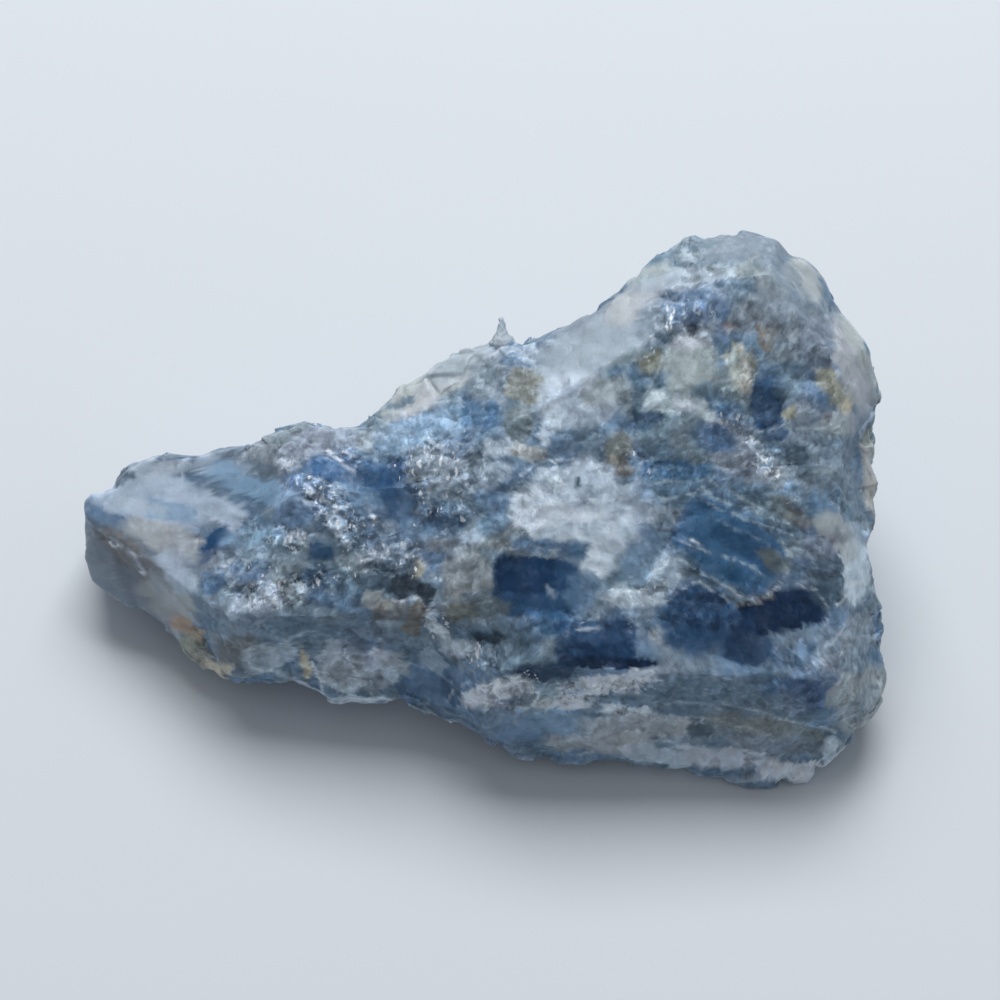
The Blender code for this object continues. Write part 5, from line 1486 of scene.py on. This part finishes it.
def calcite_material(name, colour, glint_colour, tinted):
    """Cloudy calcite: light goes a little way in, and fine cleavage flats glint on the surface."""
    material = bpy.data.materials.new(name)
    material.use_nodes = True
    tree = material.node_tree
    links = tree.links
    shader = tree.nodes["Principled BSDF"]
    for socket, value in CALCITE_OPTICS:
        shader.inputs[socket].default_value = value
    position = node(tree, "ShaderNodeTexCoord").outputs["Object"]
    broken = node(tree, "ShaderNodeGroup", node_tree=shared_group("Broken grain", broken_grain_group))
    # the colour of the painted glints in the flecks
    broken.inputs["Glint colour"].default_value = (*glint_colour, 1.0)
    links.new(position, broken.inputs["Position"])
    if tinted:
        tint = node(tree, "ShaderNodeAttribute", attribute_name="tint")
        links.new(tint.outputs["Color"], broken.inputs["Colour"])
        rough = node(tree, "ShaderNodeAttribute", attribute_name="hackle")
        links.new(rough.outputs["Fac"], broken.inputs["Rough"])
    else:
        broken.inputs["Colour"].default_value = (*colour, 1.0)
    links.new(broken.outputs["Colour"], shader.inputs["Base Color"])
    waves_per_metre, height = GRAIN_BUMP
    bump = node(tree, "ShaderNodeBump", in_Strength=0.35, in_Distance=height)
    links.new(noise_of(tree, position, waves_per_metre, 2.0, 0.6)["Fac"], bump.inputs["Height"])
    links.new(broken.outputs["Normal"], bump.inputs["Normal"])
    links.new(bump.outputs["Normal"], shader.inputs["Normal"])
    links.new(broken.outputs["Fleck"], shader.inputs["Coat Weight"])
    links.new(graded(tree, broken.outputs["Cell"], 0.0, 1.0, *LATH_ROUGHNESS), shader.inputs["Roughness"])
    return material


def floor_material(colour):
    """A smooth pale sheet with the faintest unevenness."""
    material = bpy.data.materials.new("pale_floor")
    material.use_nodes = True
    tree = material.node_tree
    shader = tree.nodes["Principled BSDF"]
    shader.inputs["Roughness"].default_value = 0.85
    drift = noise_of(tree, node(tree, "ShaderNodeTexCoord").outputs["Object"], 6.0, 3.0)
    mix = node(tree, "ShaderNodeMix", data_type="RGBA")
    mix.inputs["A"].default_value = (*[0.985 * part for part in colour], 1.0)
    mix.inputs["B"].default_value = (*colour, 1.0)
    tree.links.new(drift["Fac"], mix.inputs["Factor"])
    tree.links.new(mix.outputs["Result"], shader.inputs["Base Color"])
    return material


def shared_group(name, build):
    """A node group by name, built the first time that it is asked for."""
    return bpy.data.node_groups.get(name) or build()


def stand_shift(low, high):
    """How far the form is moved so that its box, low to high, has the same middle and foot as the solid's."""
    solid_low, solid_high = (np.array(corner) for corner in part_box("calcite_lump"))
    shift = (solid_low + solid_high - low - high) / 2.0
    shift[2] = solid_low[2] - low[2]
    return shift


class CALCITE_OT_stone(bpy.types.Operator):
    """Build the finely cleaved lump and its cloudy blue material."""

    bl_idname = "calcite.stone"
    bl_label = "Stone"

    def execute(self, context):
        colours = context.scene.calcite_colours
        (front, back), grains = fine_halves()
        points, triangles = join_halves(front, back)
        points = to_world(points) * STRETCH * MM
        stone = thinned(mesh_from_arrays("calcite_stone", points, triangles), front.shape[0] ** 2)
        mesh = stone.data
        places = vectors_of(mesh, "co")
        shift = stand_shift(places.min(axis=0), places.max(axis=0))
        context.scene["calcite_shift"] = [float(part) for part in shift]
        bulge = edge_bulge(mesh, places, vectors_of(mesh, "normal")) / MM
        face_points = to_face(places / MM)
        rough = roughness_field(face_points)
        tint = paint(face_points, bulge, rough, grains, colours)
        tint_values = np.concatenate((tint, np.ones((len(tint), 1))), axis=1)
        layer = mesh.attributes.new("tint", "FLOAT_COLOR", "POINT")
        layer.data.foreach_set("color", tint_values.astype(np.float32).ravel())
        layer = mesh.attributes.new("hackle", "FLOAT", "POINT")
        layer.data.foreach_set("value", rough.astype(np.float32))
        mesh.vertices.foreach_set("co", (places + shift).astype(np.float32).ravel())
        mesh.update()
        mesh.set_sharp_from_angle(angle=STONE_CREASE)
        mesh.materials.append(calcite_material("cloudy_calcite", colours.mid, colours.white, True))
        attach(stone, "root")
        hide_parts("calcite_lump")
        return {"FINISHED"}


def spike_surface(foot):
    """A small spire on the rim, in the frame of the face: rings along the way up it, closed at both ends.

    Each ring is an uneven circle. Its radius is read from a profile that is wide at the foot, which is sunk in
    the rim, and narrow above; the two end rings have no radius, so they close it.
    """
    heights, radii = np.array(SPIKE_PROFILE).T
    level = np.linspace(0.0, 1.0, SPIKE_RINGS)
    along = np.interp(level, np.linspace(0.0, 1.0, len(heights)), heights)[:, None]
    radius = np.interp(level, np.linspace(0.0, 1.0, len(radii)), radii)[:, None]
    turn = np.linspace(0.0, math.tau, SPIKE_SIDES, endpoint=False)
    uneven = sum((amount * np.cos(lobes * turn + start) for amount, lobes, start in SPIKE_LOBES), 1.0)
    lean = SPIKE_LEAN * np.minimum(along, SPIKE_LEAN_TOP)
    rings = np.empty((SPIKE_RINGS, SPIKE_SIDES, 3))
    rings[..., 0] = foot[0] + SPIKE_WIDTH * radius * uneven * np.cos(turn) + lean
    rings[..., 1] = foot[1] + along + SPIKE_WAVE * radius * np.cos(2.0 * turn)
    rings[..., 2] = foot[2] - SPIKE_DEPTH + SPIKE_THICKNESS * radius * uneven * np.sin(turn)
    inner = rings[1:-1].reshape(-1, 3)
    for axis, height, length, seed in SPIKE_NOISES:
        rings[1:-1, :, axis] += height * wave_noise(inner, length, seed).reshape(SPIKE_RINGS - 2, SPIKE_SIDES)
    points = np.concatenate((rings[0, :1], rings[1:-1].reshape(-1, 3), rings[-1, :1]))
    index = np.arange((SPIKE_RINGS - 2) * SPIKE_SIDES).reshape(SPIKE_RINGS - 2, SPIKE_SIDES) + 1
    beside = np.roll(index, -1, axis=1)
    foot_fan = np.stack((beside[0], index[0], np.zeros(SPIKE_SIDES, dtype=int)), -1)
    tip_fan = np.stack((index[-1], beside[-1], np.full(SPIKE_SIDES, len(points) - 1)), -1)
    lower = np.stack((index[:-1], beside[:-1], beside[1:]), -1).reshape(-1, 3)
    upper = np.stack((index[:-1], beside[1:], index[1:]), -1).reshape(-1, 3)
    triangles = np.concatenate((foot_fan, lower, upper, tip_fan))
    return points, triangles[:, ::-1]


class CALCITE_OT_spike(bpy.types.Operator):
    """Stand the thin spire on the rim, above the middle of the broad face."""

    bl_idname = "calcite.spike"
    bl_label = "Rim spike"

    def execute(self, context):
        colours = context.scene.calcite_colours
        shift = np.array(context.scene["calcite_shift"])
        rim = to_face((vectors_of(bpy.data.objects["calcite_stone"].data, "co") - shift) / MM)
        across, up = seen_place(rim).T
        column = np.abs(across - SPIKE_ACROSS) < SPIKE_COLUMN
        if not column.any():
            raise RuntimeError("the stone has no rim where the spike stands")
        foot = rim[column][np.argmax(up[column])]
        foot[0] = SPIKE_ACROSS * (VIEW_REACH - foot[2]) / VIEW_REACH
        points, triangles = spike_surface(foot)
        mesh = mesh_from_arrays("calcite_spike", to_world(points) * MM + shift, triangles)
        mesh.set_sharp_from_angle(angle=SPIKE_CREASE)
        mesh.materials.append(calcite_material("clear_calcite", colours.frost, colours.white, False))
        spike = bpy.data.objects.new("calcite_spike", mesh)
        context.scene.collection.objects.link(spike)
        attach(spike, "root")
        return {"FINISHED"}


class CALCITE_OT_stage(bpy.types.Operator):
    """Lay the pale floor and set the soft lights and the camera."""

    bl_idname = "calcite.stage"
    bl_label = "Stage"

    def execute(self, context):
        scene = context.scene
        studio = scene.calcite_studio
        shift = np.array(scene["calcite_shift"])
        bpy.ops.mesh.primitive_plane_add(size=FLOOR_SIZE)
        floor = context.object
        floor.name = "floor"
        floor.data.materials.append(floor_material(studio.floor_colour))
        floor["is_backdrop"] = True
        world = bpy.data.worlds.new("soft_room")
        world.use_nodes = True
        background = world.node_tree.nodes["Background"]
        background.inputs["Color"].default_value = (*light_values(SKY_COLOUR), 1.0)
        background.inputs["Strength"].default_value = studio.sky_strength
        scene.world = world
        aim_light(scene, "window", WINDOW_PLACE, WINDOW_SIDES, studio.window_power)
        lens = bpy.data.cameras.new("view")
        lens.angle = 2.0 * math.atan(studio.frame_width / 2.0 / (VIEW_REACH * MM))
        lens.dof.use_dof = False
        camera = bpy.data.objects.new("view", lens)
        face_middle = np.array((0.0, 0.0, FACE_ORIGIN_HEIGHT)) * MM + shift
        camera.location = face_middle + OUT * VIEW_REACH * MM
        camera.rotation_euler = (FACE_LEAN, 0.0, 0.0)
        scene.collection.objects.link(camera)
        scene.camera = camera
        scene.view_settings.view_transform = "Standard"
        return {"FINISHED"}


def aim_light(scene, name, place, sides, power):
    """Hang a flat light that faces the stone."""
    lamp = bpy.data.lights.new(name, "AREA")
    lamp.shape = "RECTANGLE"
    lamp.size, lamp.size_y = sides
    lamp.energy = power
    light = bpy.data.objects.new(name, lamp)
    light.location = place
    direction = -Vector(place)
    light.rotation_euler = direction.to_track_quat("-Z", "Y").to_euler()
    scene.collection.objects.link(light)


class CALCITE_PT_panel(bpy.types.Panel):
    """The pieces of the specimen, in the order that they are built."""

    bl_label = "Blue Calcite"
    bl_idname = "CALCITE_PT_panel"
    bl_space_type = "VIEW_3D"
    bl_region_type = "UI"
    bl_category = "Calcite"

    def draw(self, context):
        layout = self.layout
        for operator in BUILD_ORDER:
            layout.operator(operator.bl_idname)
        for group in (context.scene.calcite_colours, context.scene.calcite_studio):
            box = layout.box()
            for name in group.bl_rna.properties.keys():
                if name not in ("rna_type", "name"):
                    box.prop(group, name)


BUILD_ORDER = (CALCITE_OT_stone, CALCITE_OT_spike, CALCITE_OT_stage)
CLASSES = (CalciteColours, CalciteStudio, *BUILD_ORDER, CALCITE_PT_panel)


def register():
    for item in CLASSES:
        bpy.utils.register_class(item)
    bpy.types.Scene.calcite_colours = bpy.props.PointerProperty(type=CalciteColours)
    bpy.types.Scene.calcite_studio = bpy.props.PointerProperty(type=CalciteStudio)


def unregister():
    del bpy.types.Scene.calcite_studio
    del bpy.types.Scene.calcite_colours
    for item in reversed(CLASSES):
        bpy.utils.unregister_class(item)


def main():
    """Register the add-on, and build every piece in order."""
    register()
    bpy.ops.calcite.stone()
    bpy.ops.calcite.spike()
    bpy.ops.calcite.stage()
    boxes = {"cad": cad_box, "visual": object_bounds()}
    {name: [[float(v) for v in corner] for corner in box] for name, box in boxes.items()}


if __name__ == "__main__":
    main()
